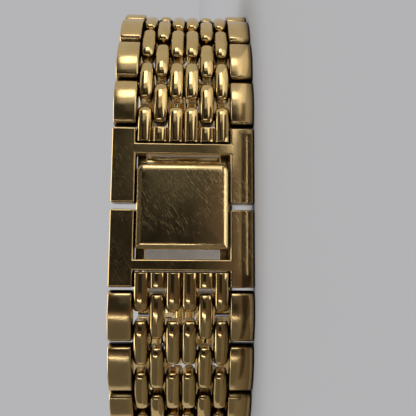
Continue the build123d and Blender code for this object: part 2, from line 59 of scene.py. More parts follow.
LOG = logging.getLogger("watch")
METRES = 0.001
BRACELET_WIDTH = 18.0
WELD_DISTANCE = 1e-6
EASED_ANGLE = 32.0
ROD_SIDES = 20
TURNED_SIDES = 32
SWEEP_SIDES = 96
BLACK = (0.0, 0.0, 0.0)
# brown of the floor in shadow in front of the watch, painted on sheets that only the metal mirrors: painted
# shade
FLOOR_SHADE_BROWN = (0.085, 0.055, 0.042)
CLASP_MIDDLE = (0.0, -18.0, 9.0)
CARD_LIFT = 0.5


class Half(Enum):
    """The two halves of the bracelet, named for the end of the dial they meet."""

    TWELVE = "12"
    SIX = "6"

    @property
    def side(self) -> float:
        """Sign of x on this half."""
        return 1.0 if self is Half.TWELVE else -1.0


class Grain(Enum):
    """How a metal surface has been worked."""

    POLISHED = "polished"
    SATIN = "satin"
    SCRATCHED = "scratched"
    BRUSHED = "brushed"


# Shader graph


class Value:
    """Output of a shader node, whose arithmetic adds Math nodes to its graph."""

    def __init__(self, graph: "Graph", socket: bpy.types.NodeSocket) -> None:
        """Keep the graph and the socket."""
        self.graph, self.socket = graph, socket

    def math(self, operation: str, first: Any, second: Any) -> "Value":
        """Result of one Math node on two values or links."""
        return self.graph.node("ShaderNodeMath", {"operation": operation}, {0: first, 1: second})

    def __add__(self, other: Any) -> "Value":
        """Sum."""
        return self.math("ADD", self, other)

    def __radd__(self, other: Any) -> "Value":
        """Sum, with the number in front."""
        return self.math("ADD", other, self)

    def __sub__(self, other: Any) -> "Value":
        """Difference."""
        return self.math("SUBTRACT", self, other)

    def __rsub__(self, other: Any) -> "Value":
        """Difference, with the number in front."""
        return self.math("SUBTRACT", other, self)

    def __mul__(self, other: Any) -> "Value":
        """Product."""
        return self.math("MULTIPLY", self, other)

    def __rmul__(self, other: Any) -> "Value":
        """Product, with the number in front."""
        return self.math("MULTIPLY", other, self)

    def __abs__(self) -> "Value":
        """Size without its sign."""
        return self.math("ABSOLUTE", self, 0.0)

    def highest(self, other: Any) -> "Value":
        """The larger of this and another value."""
        return self.math("MAXIMUM", self, other)

    def rise(self, low: float, high: float) -> "Value":
        """Smooth step from 0 at the low value to 1 at the high one."""
        inputs = {"Value": self, "From Min": low, "From Max": high}
        return self.graph.node("ShaderNodeMapRange", {"interpolation_type": "SMOOTHSTEP"}, inputs)

    def of(self, output: str) -> "Value":
        """Another output of the same node."""
        return Value(self.graph, self.socket.node.outputs[output])


class Graph:
    """Node tree of one material."""

    def __init__(self, name: str) -> None:
        """Start an empty material.

        Args:
            name: its name.
        """
        self.material = bpy.data.materials.new(name)
        self.material.use_nodes = True
        self.tree = self.material.node_tree
        self.tree.nodes.clear()

    def node(
        self, kind: str, settings: dict[str, Any], inputs: dict[Any, Any], output: Any = 0
    ) -> Value | None:
        """Add any node.

        Args:
            kind: its type.
            settings: what is set on the node before its sockets.
            inputs: value, or Value to link, of each socket by name or number.
            output: name or number of the output to return, or None for a node without one.

        Returns:
            That output.
        """
        made = self.tree.nodes.new(kind)
        for key, setting in settings.items():
            setattr(made, key, setting)
        for key, value in inputs.items():
            if isinstance(value, Value):
                self.tree.links.new(value.socket, made.inputs[key])
            else:
                made.inputs[key].default_value = value
        return None if output is None else Value(self, made.outputs[output])

    def place(self) -> Value:
        """Object coordinates, in metres."""
        return self.node("ShaderNodeTexCoord", {}, {}, "Object")

    def stretched(self, place: Value, scale: Sequence[float]) -> Value:
        """Coordinates multiplied by one factor on each axis."""
        return self.node("ShaderNodeVectorMath", {"operation": "MULTIPLY"}, {0: place, 1: scale})

    def turned(self, place: Value, angle: float) -> Value:
        """Coordinates turned about the y axis by an angle in degrees."""
        inputs = {"Vector": place, "Axis": (0.0, 1.0, 0.0), "Angle": math.radians(angle)}
        return self.node("ShaderNodeVectorRotate", {"rotation_type": "AXIS_ANGLE"}, inputs)

    def noise(
        self, place: Value, scale: Sequence[float], detail: float = 2.0, roughness: float = 0.5
    ) -> Value:
        """Noise in three dimensions.

        Args:
            place: the coordinates.
            scale: about how many lumps there are to the metre on each axis.
            detail: how many finer layers it has.
            roughness: how strong the finer layers are.

        Returns:
            The noise, about 0.5 on average.
        """
        inputs = {"Vector": self.stretched(place, scale), "Scale": 1.0}
        inputs |= {"Detail": detail, "Roughness": roughness}
        return self.node("ShaderNodeTexNoise", {"noise_dimensions": "3D"}, inputs)

    def blend(self, factor: Value, first: Any, second: Any) -> Value:
        """Colour between two colours, each a triple or a Value."""
        first, second = (c if isinstance(c, Value) else (*c, 1.0) for c in (first, second))
        return self.node("ShaderNodeMix", {"data_type": "RGBA"}, {0: factor, 6: first, 7: second}, 2)

    def bump(self, height: Value, distance: float) -> Value:
        """Normal of a relief of that height, the distance in millimetres."""
        inputs = {"Height": height, "Distance": distance * METRES, "Strength": 1.0}
        return self.node("ShaderNodeBump", {}, inputs)

    def surface(self, inputs: dict[str, Any]) -> bpy.types.Material:
        """Finish the material with a Principled surface.

        Args:
            inputs: value or link of each socket.

        Returns:
            The material.
        """
        shader = self.node("ShaderNodeBsdfPrincipled", {}, inputs)
        self.node("ShaderNodeOutputMaterial", {}, {"Surface": shader}, None)
        return self.material


@dataclass(frozen=True)
class Metal:
    """A metal finish: its colour, the tint it takes where it is worn or tarnished, and its grain. It also
    names the painted shade that darkens it between close surfaces.

    Each hairline and rub mark gives its angle, its lumps to the metre, where its step starts and ends,
    and its depth.
    """

    name: str
    colour: Triple
    tint: Triple
    roughness: float
    grain: Grain
    relief: float = 0.004
    # painted shade: the darker colour painted into crevices and between close parts, and how near a surface
    # must be to cast it
    painted_shade: Triple = (0.03, 0.018, 0.010)
    painted_shade_reach: float = 1.1
    wear: float = 0.0
    patch_lumps: float = 420
    haze_lumps: float = 1500
    polish_lumps: float = 2600
    worn_lumps: float = 170
    satin_lumps: Triple = (14000, 14000, 420)
    brush_lumps: Triple = (260, 14000, 14000)
    hairlines: tuple[tuple[float, Triple, float, float, float], ...] = (
        (27.0, (120, 120, 17000), 0.72, 0.76, 0.6),
        (149.0, (140, 140, 19000), 0.72, 0.76, 0.5),
    )
    rub_marks: tuple[tuple[float, Triple, float, float, float], ...] = (
        (33.0, (1300, 1300, 16000), 0.43, 0.79, 1.0),
        (121.0, (1600, 1600, 17000), 0.50, 0.84, 0.75),
        (78.0, (1500, 1500, 15000), 0.52, 0.84, 0.72),
    )

    def material(self) -> bpy.types.Material:
        """Build the material.

        Base colour drifts between colour and tint over soft lumps. Where ambient occlusion finds close
        surfaces, the colour is painted darker towards the painted shade colour, which is painted shade
        between links and in crevices, and the roughness rises there too. Roughness and relief follow the
        grain: a soft haze, streaks across the bracelet, fine scratches, or long brush lines.

        Returns:
            The material.
        """
        graph = Graph(self.name)
        place = graph.place()
        patches = graph.noise(place, (self.patch_lumps,) * 3, 3.0).rise(0.35, 0.7)
        haze = graph.noise(place, (self.haze_lumps,) * 3, 4.0, 0.6)
        if self.grain is Grain.SATIN:
            marks = graph.noise(place, self.satin_lumps, 3.0, 0.7)
            rough = self.roughness + 0.10 * (marks - 0.5) + 0.10 * (haze - 0.5)
        elif self.grain is Grain.BRUSHED:
            marks = graph.noise(place, self.brush_lumps, 3.0, 0.7)
            rough = self.roughness + 0.12 * (marks - 0.5) + 0.06 * (haze - 0.5)
        elif self.grain is Grain.SCRATCHED:
            marks = self.scratches(graph, place)
            rough = self.roughness + self.wear * marks + 0.05 * haze
        else:
            marks = graph.noise(place, (self.polish_lumps,) * 3)
            rough = self.roughness + 0.05 * (haze - 0.4)
        # ambient occlusion mask for the painted shade: 1 where the surface is open, lower where close
        # surfaces would shade it
        reach = {"Distance": self.painted_shade_reach * METRES}
        unshaded_share = graph.node("ShaderNodeAmbientOcclusion", {"samples": 6}, reach, "AO").rise(0.35, 0.9)
        colour = graph.blend(patches * 0.7, self.colour, self.tint)
        return graph.surface(
            {
                "Base Color": graph.blend(unshaded_share * unshaded_share, self.painted_shade, colour),
                "Metallic": 1.0,
                "Roughness": rough.highest(0.03) + 0.25 * (1.0 - unshaded_share),
                "Normal": graph.bump(marks, self.relief),
            }
        )

    def scratches(self, graph: Graph, place: Value) -> Value:
        """Wear of a polished face that looks towards -y or +y: hairlines over patches of rub marks.

        Args:
            graph: the material's graph.
            place: the coordinates.

        Returns:
            About a half on a hairline, up to 1 on a rub mark, and 0 beside them.
        """
        found: Value | None = None
        worn = graph.noise(place, (self.worn_lumps,) * 3).rise(0.3, 0.57)
        for share, lines in ((1.0, self.hairlines), (worn, self.rub_marks)):
            for angle, lumps, low, high, depth in lines:
                streak = graph.noise(graph.turned(place, angle), lumps, 1.0).rise(low, high)
                line = streak * depth * share
                found = line if found is None else found.highest(line)
        return found


@dataclass(frozen=True)
class Moulded:
    """Moulded rubber or plastic: colours of its hollows and lumps, and the grain's size and effect."""

    name: str
    dark: Triple
    light: Triple
    lumps: float
    detail: float
    roughness: float
    spread: float
    relief: float = 0.0

    def material(self) -> bpy.types.Material:
        """Colour, roughness and, where it has any, relief follow one fine noise.

        Returns:
            The material.
        """
        graph = Graph(self.name)
        grain = graph.noise(graph.place(), (self.lumps,) * 3, self.detail)
        relief = {"Normal": graph.bump(grain, self.relief)} if self.relief else {}
        colour, rough = graph.blend(grain, self.dark, self.light), self.roughness + self.spread * grain
        return graph.surface({"Base Color": colour, "Roughness": rough, **relief})


@dataclass(frozen=True)
class Glass:
    """Mineral glass of the crystal."""

    name: str = "crystal_glass"
    colour: Triple = (0.98, 0.99, 1.0)
    index: float = 1.5
    rub_lumps: Triple = (260, 260, 900)

    def material(self) -> bpy.types.Material:
        """Clear glass with a few faint rub marks in its roughness.

        Returns:
            The material.
        """
        graph = Graph(self.name)
        rub = graph.noise(graph.place(), self.rub_lumps, 3.0).rise(0.62, 0.8)
        clear = {"Base Color": (*self.colour, 1.0), "IOR": self.index, "Transmission Weight": 1.0}
        return graph.surface({**clear, "Roughness": 0.01 + 0.05 * rub})


@dataclass(frozen=True)
class DialPaint:
    """Champagne dial with a fine grain and a printed rectangular minute track."""

    name: str = "dial_champagne"
    track_half: Pair = (6.35, 2.15)
    track_line: float = 0.07
    track_colour: Triple = (0.09, 0.07, 0.05)
    dark: Triple = (0.86, 0.78, 0.56)
    light: Triple = (0.93, 0.86, 0.66)
    grain_lumps: Triple = (500, 500, 16000)

    def material(self) -> bpy.types.Material:
        """Paint whose track is where the larger of x and z, less the track's half sizes, is near 0.

        Returns:
            The material.
        """
        graph = Graph(self.name)
        place = graph.place()
        grain = graph.noise(place, self.grain_lumps)
        axes = graph.node("ShaderNodeSeparateXYZ", {}, {0: place})
        across = abs(axes.of("Z") * (1 / METRES) - BRACELET_WIDTH / 2) - self.track_half[1]
        along = abs(axes.of("X") * (1 / METRES)) - self.track_half[0]
        line = 1.0 - abs(across.highest(along)).rise(self.track_line * 0.5, self.track_line)
        paint = graph.blend(grain.rise(0.3, 0.7), self.dark, self.light)
        return graph.surface(
            {
                "Base Color": graph.blend(line, paint, self.track_colour),
                "Metallic": 0.2,
                "Roughness": 0.34 + 0.1 * grain,
                "Normal": graph.bump(grain, 0.002),
            }
        )


Finish = Metal | Moulded | Glass | DialPaint

GOLD, WORN_GOLD = (0.86, 0.63, 0.27), (0.78, 0.52, 0.22)
CASE_GOLD = (0.88, 0.66, 0.30)
LINK_POLISH = Metal("link_polish", GOLD, WORN_GOLD, 0.09, Grain.POLISHED, 0.002)
# the comb lobes take a lighter painted shade over a shorter reach
COMB_POLISH = Metal("comb_polish", GOLD, WORN_GOLD, 0.10, Grain.POLISHED, 0.002, (0.30, 0.20, 0.09), 0.35)
LINK_SATIN = Metal("link_satin", (0.86, 0.62, 0.28), (0.78, 0.53, 0.22), 0.17, Grain.SATIN, 0.0015)
CLASP_POLISH = Metal(
    "clasp_polish", (0.86, 0.63, 0.28), (0.77, 0.53, 0.23), 0.085, Grain.SCRATCHED, 0.0012, wear=0.20
)
COVER_POLISH = Metal(
    "cover_polish", (0.88, 0.66, 0.31), (0.80, 0.57, 0.26), 0.07, Grain.SCRATCHED, 0.002, wear=0.29
)
CASE_POLISH = Metal("case_polish", CASE_GOLD, (0.80, 0.56, 0.24), 0.08, Grain.POLISHED, 0.001)
HAND_POLISH = Metal("hand_polish", CASE_GOLD, (0.80, 0.57, 0.25), 0.12, Grain.POLISHED, 0.001)
INNER_GOLD = Metal("clasp_inner_gold", (0.80, 0.60, 0.28), (0.70, 0.50, 0.22), 0.20, Grain.BRUSHED)
# the clasp arms name a grey painted shade for their crevices
ARM_STEEL = Metal(
    "clasp_arm_steel", (0.82, 0.80, 0.80), (0.74, 0.71, 0.70), 0.42, Grain.BRUSHED, 0.003, (0.3, 0.29, 0.28)
)
PIN_STEEL = Metal("pin_steel", (0.60, 0.59, 0.57), (0.48, 0.47, 0.45), 0.25, Grain.BRUSHED, 0.002)
# pins between the link rows get a near-black gold as painted shade, so the gaps between the links read dark
PIN_PAINTED_SHADE = Metal("link_pin_painted_shade", (0.20, 0.15, 0.08), (0.13, 0.10, 0.06), 0.45, Grain.BRUSHED, 0.002)
# the case back names a grey painted shade for its crevices
BACK_STEEL = Metal(
    "back_steel", (0.80, 0.80, 0.81), (0.70, 0.70, 0.71), 0.50, Grain.BRUSHED, 0.003, (0.3, 0.3, 0.3)
)
MOVEMENT_BRASS = Metal("movement_brass", (0.70, 0.62, 0.42), (0.58, 0.50, 0.34), 0.30, Grain.BRUSHED, 0.003)
BACK_SEAL, CRYSTAL_SEAL = (
    Moulded(name, (0.02, 0.02, 0.02), (0.07, 0.07, 0.068), 3000, 3.0, 0.6, 0.2)
    for name in ("seal_rubber", "crystal_seal_rubber")
)
HOLDER_PLASTIC = Moulded("holder_plastic", (0.50, 0.48, 0.43), (0.60, 0.58, 0.52), 6000, 2.0, 0.5, 0.1, 0.003)


@cache
def dressed(finish: Finish) -> bpy.types.Material:
    """The finish's material, built the first time it is asked for."""
    return finish.material()


# Closed shells


@dataclass
class Shell:
    """A closed surface: its points in millimetres and its faces, which look outwards."""

    points: np.ndarray
    faces: list[list[int]]

    def outward(self) -> "Shell":
        """Turn the faces round where the enclosed volume, summed over fans of triangles, is negative.

        Returns:
            This shell.
        """
        volume = 0.0
        for size in {len(face) for face in self.faces}:
            corners = self.points[np.array([face for face in self.faces if len(face) == size])]
            for last in range(2, size):
                cross = np.cross(corners[:, last - 1], corners[:, last])
                volume += float(np.einsum("ij,ij->", corners[:, 0], cross))
        if volume < 0:
            self.faces = [face[::-1] for face in self.faces]
        return self


def skin(
    rings: np.ndarray, near: np.ndarray | None = None, far: np.ndarray | None = None, loop: bool = False
) -> Shell:
    """Closed surface through rings of points, as a grid of ring number by place round the ring.

    Each quad joins neighbours on two neighbouring rings. The first and last rings are filled flat, or
    drawn to a pole where one is given, or joined to each other where the surface is a loop.

    Args:
        rings: points as an array of rings, places and x, y, z.
        near: pole beyond the first ring.
        far: pole beyond the last ring.
        loop: whether the last ring joins the first.

    Returns:
        The shell.
    """
    count, around = rings.shape[:2]
    index = np.arange(count * around).reshape(count, around)
    if loop:
        index = np.vstack([index, index[:1]])
    after = np.roll(index, -1, axis=1)
    faces = np.stack([index[:-1], after[:-1], after[1:], index[1:]], axis=-1).reshape(-1, 4).tolist()
    points = [rings.reshape(-1, 3)]
    if not loop:
        for ring, turn, pole in ((index[0], -1, near), (index[-1], 1, far)):
            edge = ring[::turn]
            if pole is None:
                faces.append(edge.tolist())
            else:
                tip = np.full(around, count * around + len(points) - 1)
                faces += np.stack([edge, np.roll(edge, -1), tip], axis=-1).tolist()
                points.append(np.asarray(pole, float).reshape(1, 3))
    return Shell(np.concatenate(points), faces).outward()


def grid(x: Any, y: Any, z: Any) -> np.ndarray:
    """Points whose coordinates are three arrays or numbers that broadcast together."""
    return np.stack(np.broadcast_arrays(x, y, z), axis=-1)


def circle(count: int) -> tuple[np.ndarray, np.ndarray]:
    """Cosine and sine of that many angles spread evenly round a circle."""
    angle = np.linspace(0, 2 * np.pi, count, endpoint=False)
    return np.cos(angle), np.sin(angle)


def power(value: np.ndarray, exponent: float) -> np.ndarray:
    """A value's size raised to a power, with its sign kept."""
    return np.sign(value) * np.abs(value) ** exponent


def crowned_section(count: int, arch: float, foot: float) -> np.ndarray:
    """Section of a crowned bar as a superellipse, rounder above its shoulder than below.

    At angle a the point is cos(a) to the power 2/n across and sin(a) to the power 2/n up, where n is
    the arch's exponent above the shoulder and the foot's below it.

    Args:
        count: points round it.
        arch: exponent above the shoulder.
        foot: exponent below it.

    Returns:
        Rows of across and up, from -1 to 1.
    """
    across, up = circle(count)
    exponent = np.where(up >= 0, 2 / arch, 2 / foot)
    return np.column_stack([power(across, exponent), power(up, exponent)])


def corners(low_x: float, high_x: float, low_y: float, high_y: float) -> list[Pair]:
    """Corners of a rectangle in order, from its lowest."""
    return [(low_x, low_y), (high_x, low_y), (high_x, high_y), (low_x, high_y)]


def rounded_polygon(spots: Sequence[Pair], radii: Sequence[float], steps: int) -> np.ndarray:
    """Closed outline whose corners are arcs.

    Each arc touches both sides at radius / tan(half the corner's angle) from the corner.

    Args:
        spots: the polygon's corners in order.
        radii: radius at each corner.
        steps: points on each arc.

    Returns:
        The outline's points.
    """
    spots = np.array(spots, float)
    before, after = np.roll(spots, 1, axis=0) - spots, np.roll(spots, -1, axis=0) - spots
    before /= np.linalg.norm(before, axis=1, keepdims=True)
    after /= np.linalg.norm(after, axis=1, keepdims=True)
    half = np.arccos(np.clip((before * after).sum(1), -1, 1)) / 2
    radius = np.array(radii, float)
    middle = before + after
    middle /= np.linalg.norm(middle, axis=1, keepdims=True)
    centre = spots + middle * (radius / np.sin(half))[:, None]
    start, stop = (spots + side * (radius / np.tan(half))[:, None] - centre for side in (before, after))
    first = np.arctan2(start[:, 1], start[:, 0])
    sweep = np.arctan2(stop[:, 1], stop[:, 0]) - first
    sweep = (sweep + np.pi) % (2 * np.pi) - np.pi
    angle = first[:, None] + sweep[:, None] * np.linspace(0.0, 1.0, steps)[None]
    arcs = np.stack([np.cos(angle), np.sin(angle)], axis=-1) * radius[:, None, None]
    return (centre[:, None] + arcs).reshape(-1, 2)


def rounded_rectangle(half_x: float, half_y: float, radii: Sequence[float], steps: int) -> np.ndarray:
    """Rounded rectangle about the origin, its corners in order from high x and low y."""
    first, *others = corners(-half_x, half_x, -half_y, half_y)
    return rounded_polygon([*others, first], radii, steps)


def level(outline: np.ndarray, y: float) -> np.ndarray:
    """Outline in x and z, about the middle of the bracelet's width, laid flat at a y."""
    return grid(outline[:, 0], y, BRACELET_WIDTH / 2 + outline[:, 1])


def inset(outline: np.ndarray, distance: float) -> np.ndarray:
    """Outline moved inwards along its normals, the sum of its two neighbouring sides' normals.

    Args:
        outline: its points.
        distance: how far.

    Returns:
        The moved points.
    """
    ahead = np.roll(outline, -1, axis=0) - outline
    behind = outline - np.roll(outline, 1, axis=0)
    area = (outline[:, 0] * np.roll(outline[:, 1], -1) - np.roll(outline[:, 0], -1) * outline[:, 1]).sum()
    unit = ahead / np.linalg.norm(ahead, axis=1, keepdims=True)
    unit = unit + behind / np.linalg.norm(behind, axis=1, keepdims=True)
    normal = np.column_stack([-unit[:, 1], unit[:, 0]]) * np.sign(area)
    normal /= np.linalg.norm(normal, axis=1, keepdims=True)
    return outline + normal * distance


def eased_prism(profile: np.ndarray, low: float, high: float, ease: float, steps: int = 4) -> Shell:
    """Profile in x and y carried along z, with both rims eased by a quarter round.

    At angle a on a rim the profile is drawn in by ease * (1 - sin a), at ease * (1 - cos a) from the end.

    Args:
        profile: outline in x and y.
        low: z of one end.
        high: z of the other.
        ease: radius of the rims.
        steps: rings on each rim.

    Returns:
        The shell.
    """
    angle = np.linspace(0.0, np.pi / 2, steps + 1)
    drawn, depth = ease * (1 - np.sin(angle)), ease * (1 - np.cos(angle))
    insets = np.concatenate([drawn, drawn[::-1]])
    heights = np.concatenate([low + depth, high - depth[::-1]])
    return skin(np.stack([grid(*inset(profile, drawn).T, z) for drawn, z in zip(insets, heights)]))


def rod(x: float, low: float, high: float, radius: float) -> Shell:
    """Round rod along z at an x, from a low to a high z, with eased ends."""
    across, up = circle(ROD_SIDES)
    return eased_prism(np.column_stack([x + radius * across, radius * up]), low, high, radius * 0.25, 2)


def cells(xs: Sequence[float], ys: Sequence[float], zs: Sequence[float], filled: np.ndarray) -> Shell:
    """Skin of the filled cells between three sets of planes.

    A face stands wherever a filled cell meets an empty one, found as the difference of the filled
    array and itself moved by one cell along each axis.

    Args:
        xs: planes across x.
        ys: planes across y.
        zs: planes across z.
        filled: whether each cell is metal.

    Returns:
        The shell.
    """
    shape = (len(xs), len(ys), len(zs))
    number = np.arange(np.prod(shape)).reshape(shape)
    solid = np.pad(filled.astype(int), 1)
    quads = []
    for axis in range(3):
        change = np.moveaxis(np.diff(solid, axis=axis), axis, 0)[:, 1:-1, 1:-1]
        at = np.moveaxis(number, axis, 0)
        square = np.stack([at[:, :-1, :-1], at[:, 1:, :-1], at[:, 1:, 1:], at[:, :-1, 1:]], axis=-1)
        handed = -1 if axis == 1 else 1
        quads += [square[change == -handed], square[change == handed][:, ::-1]]
    faces = np.concatenate(quads)
    used, local = np.unique(faces, return_inverse=True)
    spots = np.stack(np.meshgrid(xs, ys, zs, indexing="ij"), axis=-1).reshape(-1, 3)
    return Shell(spots[used].astype(float), local.reshape(faces.shape).tolist()).outward()


@dataclass
class Plane:
    """A working plane across the bracelet: x along it, y out of it, and the frame's own z."""

    origin: Pair
    heading: Pair
    outward: Pair

    def carry(self, shells: Sequence[Shell]) -> list[Shell]:
        """Shells moved from this plane into the shared frame.

        Args:
            shells: shells with x along the plane and y out of it.

        Returns:
            New shells.
        """
        moved = []
        for shell in shells:
            x, y, z = shell.points.T
            axes = zip(self.origin, self.heading, self.outward)
            flat = [start + x * along + y * out for start, along, out in axes]
            moved.append(Shell(np.column_stack([*flat, z]), shell.faces).outward())
        return moved


def put(name: str, data: Any) -> bpy.types.Object:
    """Link a new object of that data into the scene.

    Args:
        name: its name.
        data: its mesh, lamp or camera.

    Returns:
        The object.
    """
    made = bpy.data.objects.new(name, data)
    bpy.context.scene.collection.objects.link(made)
    return made


def new_mesh(name: str, points: Any, faces: Any, material: bpy.types.Material) -> bpy.types.Mesh:
    """Mesh in one material.

    Args:
        name: its name.
        points: its points in metres.
        faces: numbers of each face's points.
        material: its material.

    Returns:
        The mesh.
    """
    mesh = bpy.data.meshes.new(name)
    mesh.from_pydata(points, [], faces)
    mesh.materials.append(material)
    return mesh


@dataclass
class Piece:
    """One piece of the watch, gathered from closed shells."""

    name: str
    body: str
    slot: str
    finish: Finish
    stands_for: tuple[str, ...]
    shells: Sequence[Shell]
    crease: float = 38.0
    ease: float = 0.0

    def make(self) -> None:
        """Turn the shells into one mesh object on its body, dressed and in its CAD node's place."""
        faces: list[list[int]] = []
        start = 0
        for shell in self.shells:
            faces += [[corner + start for corner in face] for face in shell.faces]
            start += len(shell.points)
        points = np.concatenate([shell.points * METRES for shell in self.shells]).tolist()
        mesh = new_mesh(self.name, points, faces, dressed(self.finish))
        mesh.validate()
        mesh.shade_smooth()
        mesh.set_sharp_from_angle(angle=math.radians(self.crease))
        made = put(self.name, mesh)
        if self.ease:
            ease_edges(made, self.ease)
        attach(made, self.body)
        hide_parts(*self.stands_for)
        LOG.info("%s on %s: %d points, %d faces", self.name, self.body, start, len(faces))


def ease_edges(made: bpy.types.Object, width: float, weld: bool = False) -> None:
    """Round an object's sharp edges with modifiers.

    Args:
        made: the object.
        width: width of the rounding.
        weld: whether its triangles are loose and are joined first.
    """
    if weld:
        made.modifiers.new("join", "WELD").merge_threshold = WELD_DISTANCE
    round_over = made.modifiers.new("ease", "BEVEL")
    round_over.width = width * METRES
    round_over.segments = 3
    round_over.limit_method = "ANGLE"
    round_over.angle_limit = math.radians(EASED_ANGLE)
    round_over.harden_normals = True


# Places of the hinges


@dataclass(frozen=True)
class HingeLine:
    """Hinge points of one half of the bracelet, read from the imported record."""

    half: Half
    points: tuple[Pair, ...]

    @classmethod
    def of(cls, half: Half, rows: int) -> "HingeLine":
        """Collect the points from the clasp to the lugs.

        Args:
            half: which half.
            rows: carrier rows on it.

        Returns:
            The hinge line.
        """
        places = {joint["name"]: joint.get("pos_m") for joint in frame["joints"]}
        names = [f"clasp_comb_{half.value}_hinge"]
        for number in range(1, rows + 1):
            names += [f"{row}_row_{half.value}_{number}_hinge" for row in ("carrier", "bridging")]
        names[-1] = f"case_comb_{half.value}_hinge"
        found = [(places[name][0] / METRES, places[name][1] / METRES) for name in names]
        lug = places["case_hinge"]
        return cls(half, (*found, (half.side * abs(lug[0]) / METRES, lug[1] / METRES)))

    def plane(self, index: int, share: float = 0.5, back: bool = False) -> Plane:
        """Plane of the row between two neighbouring hinges.

        Args:
            index: number of the first hinge.
            share: place of the origin between the two.
            back: whether x runs back towards the clasp.

        Returns:
            The plane.
        """
        near, far = np.array(self.points[index]), np.array(self.points[index + 1])
        heading = (far - near) / np.linalg.norm(far - near)
        outward = np.array([heading[1], -heading[0]]) * self.half.side
        return Plane(tuple(near + (far - near) * share), tuple(-heading if back else heading), tuple(outward))


# Bracelet


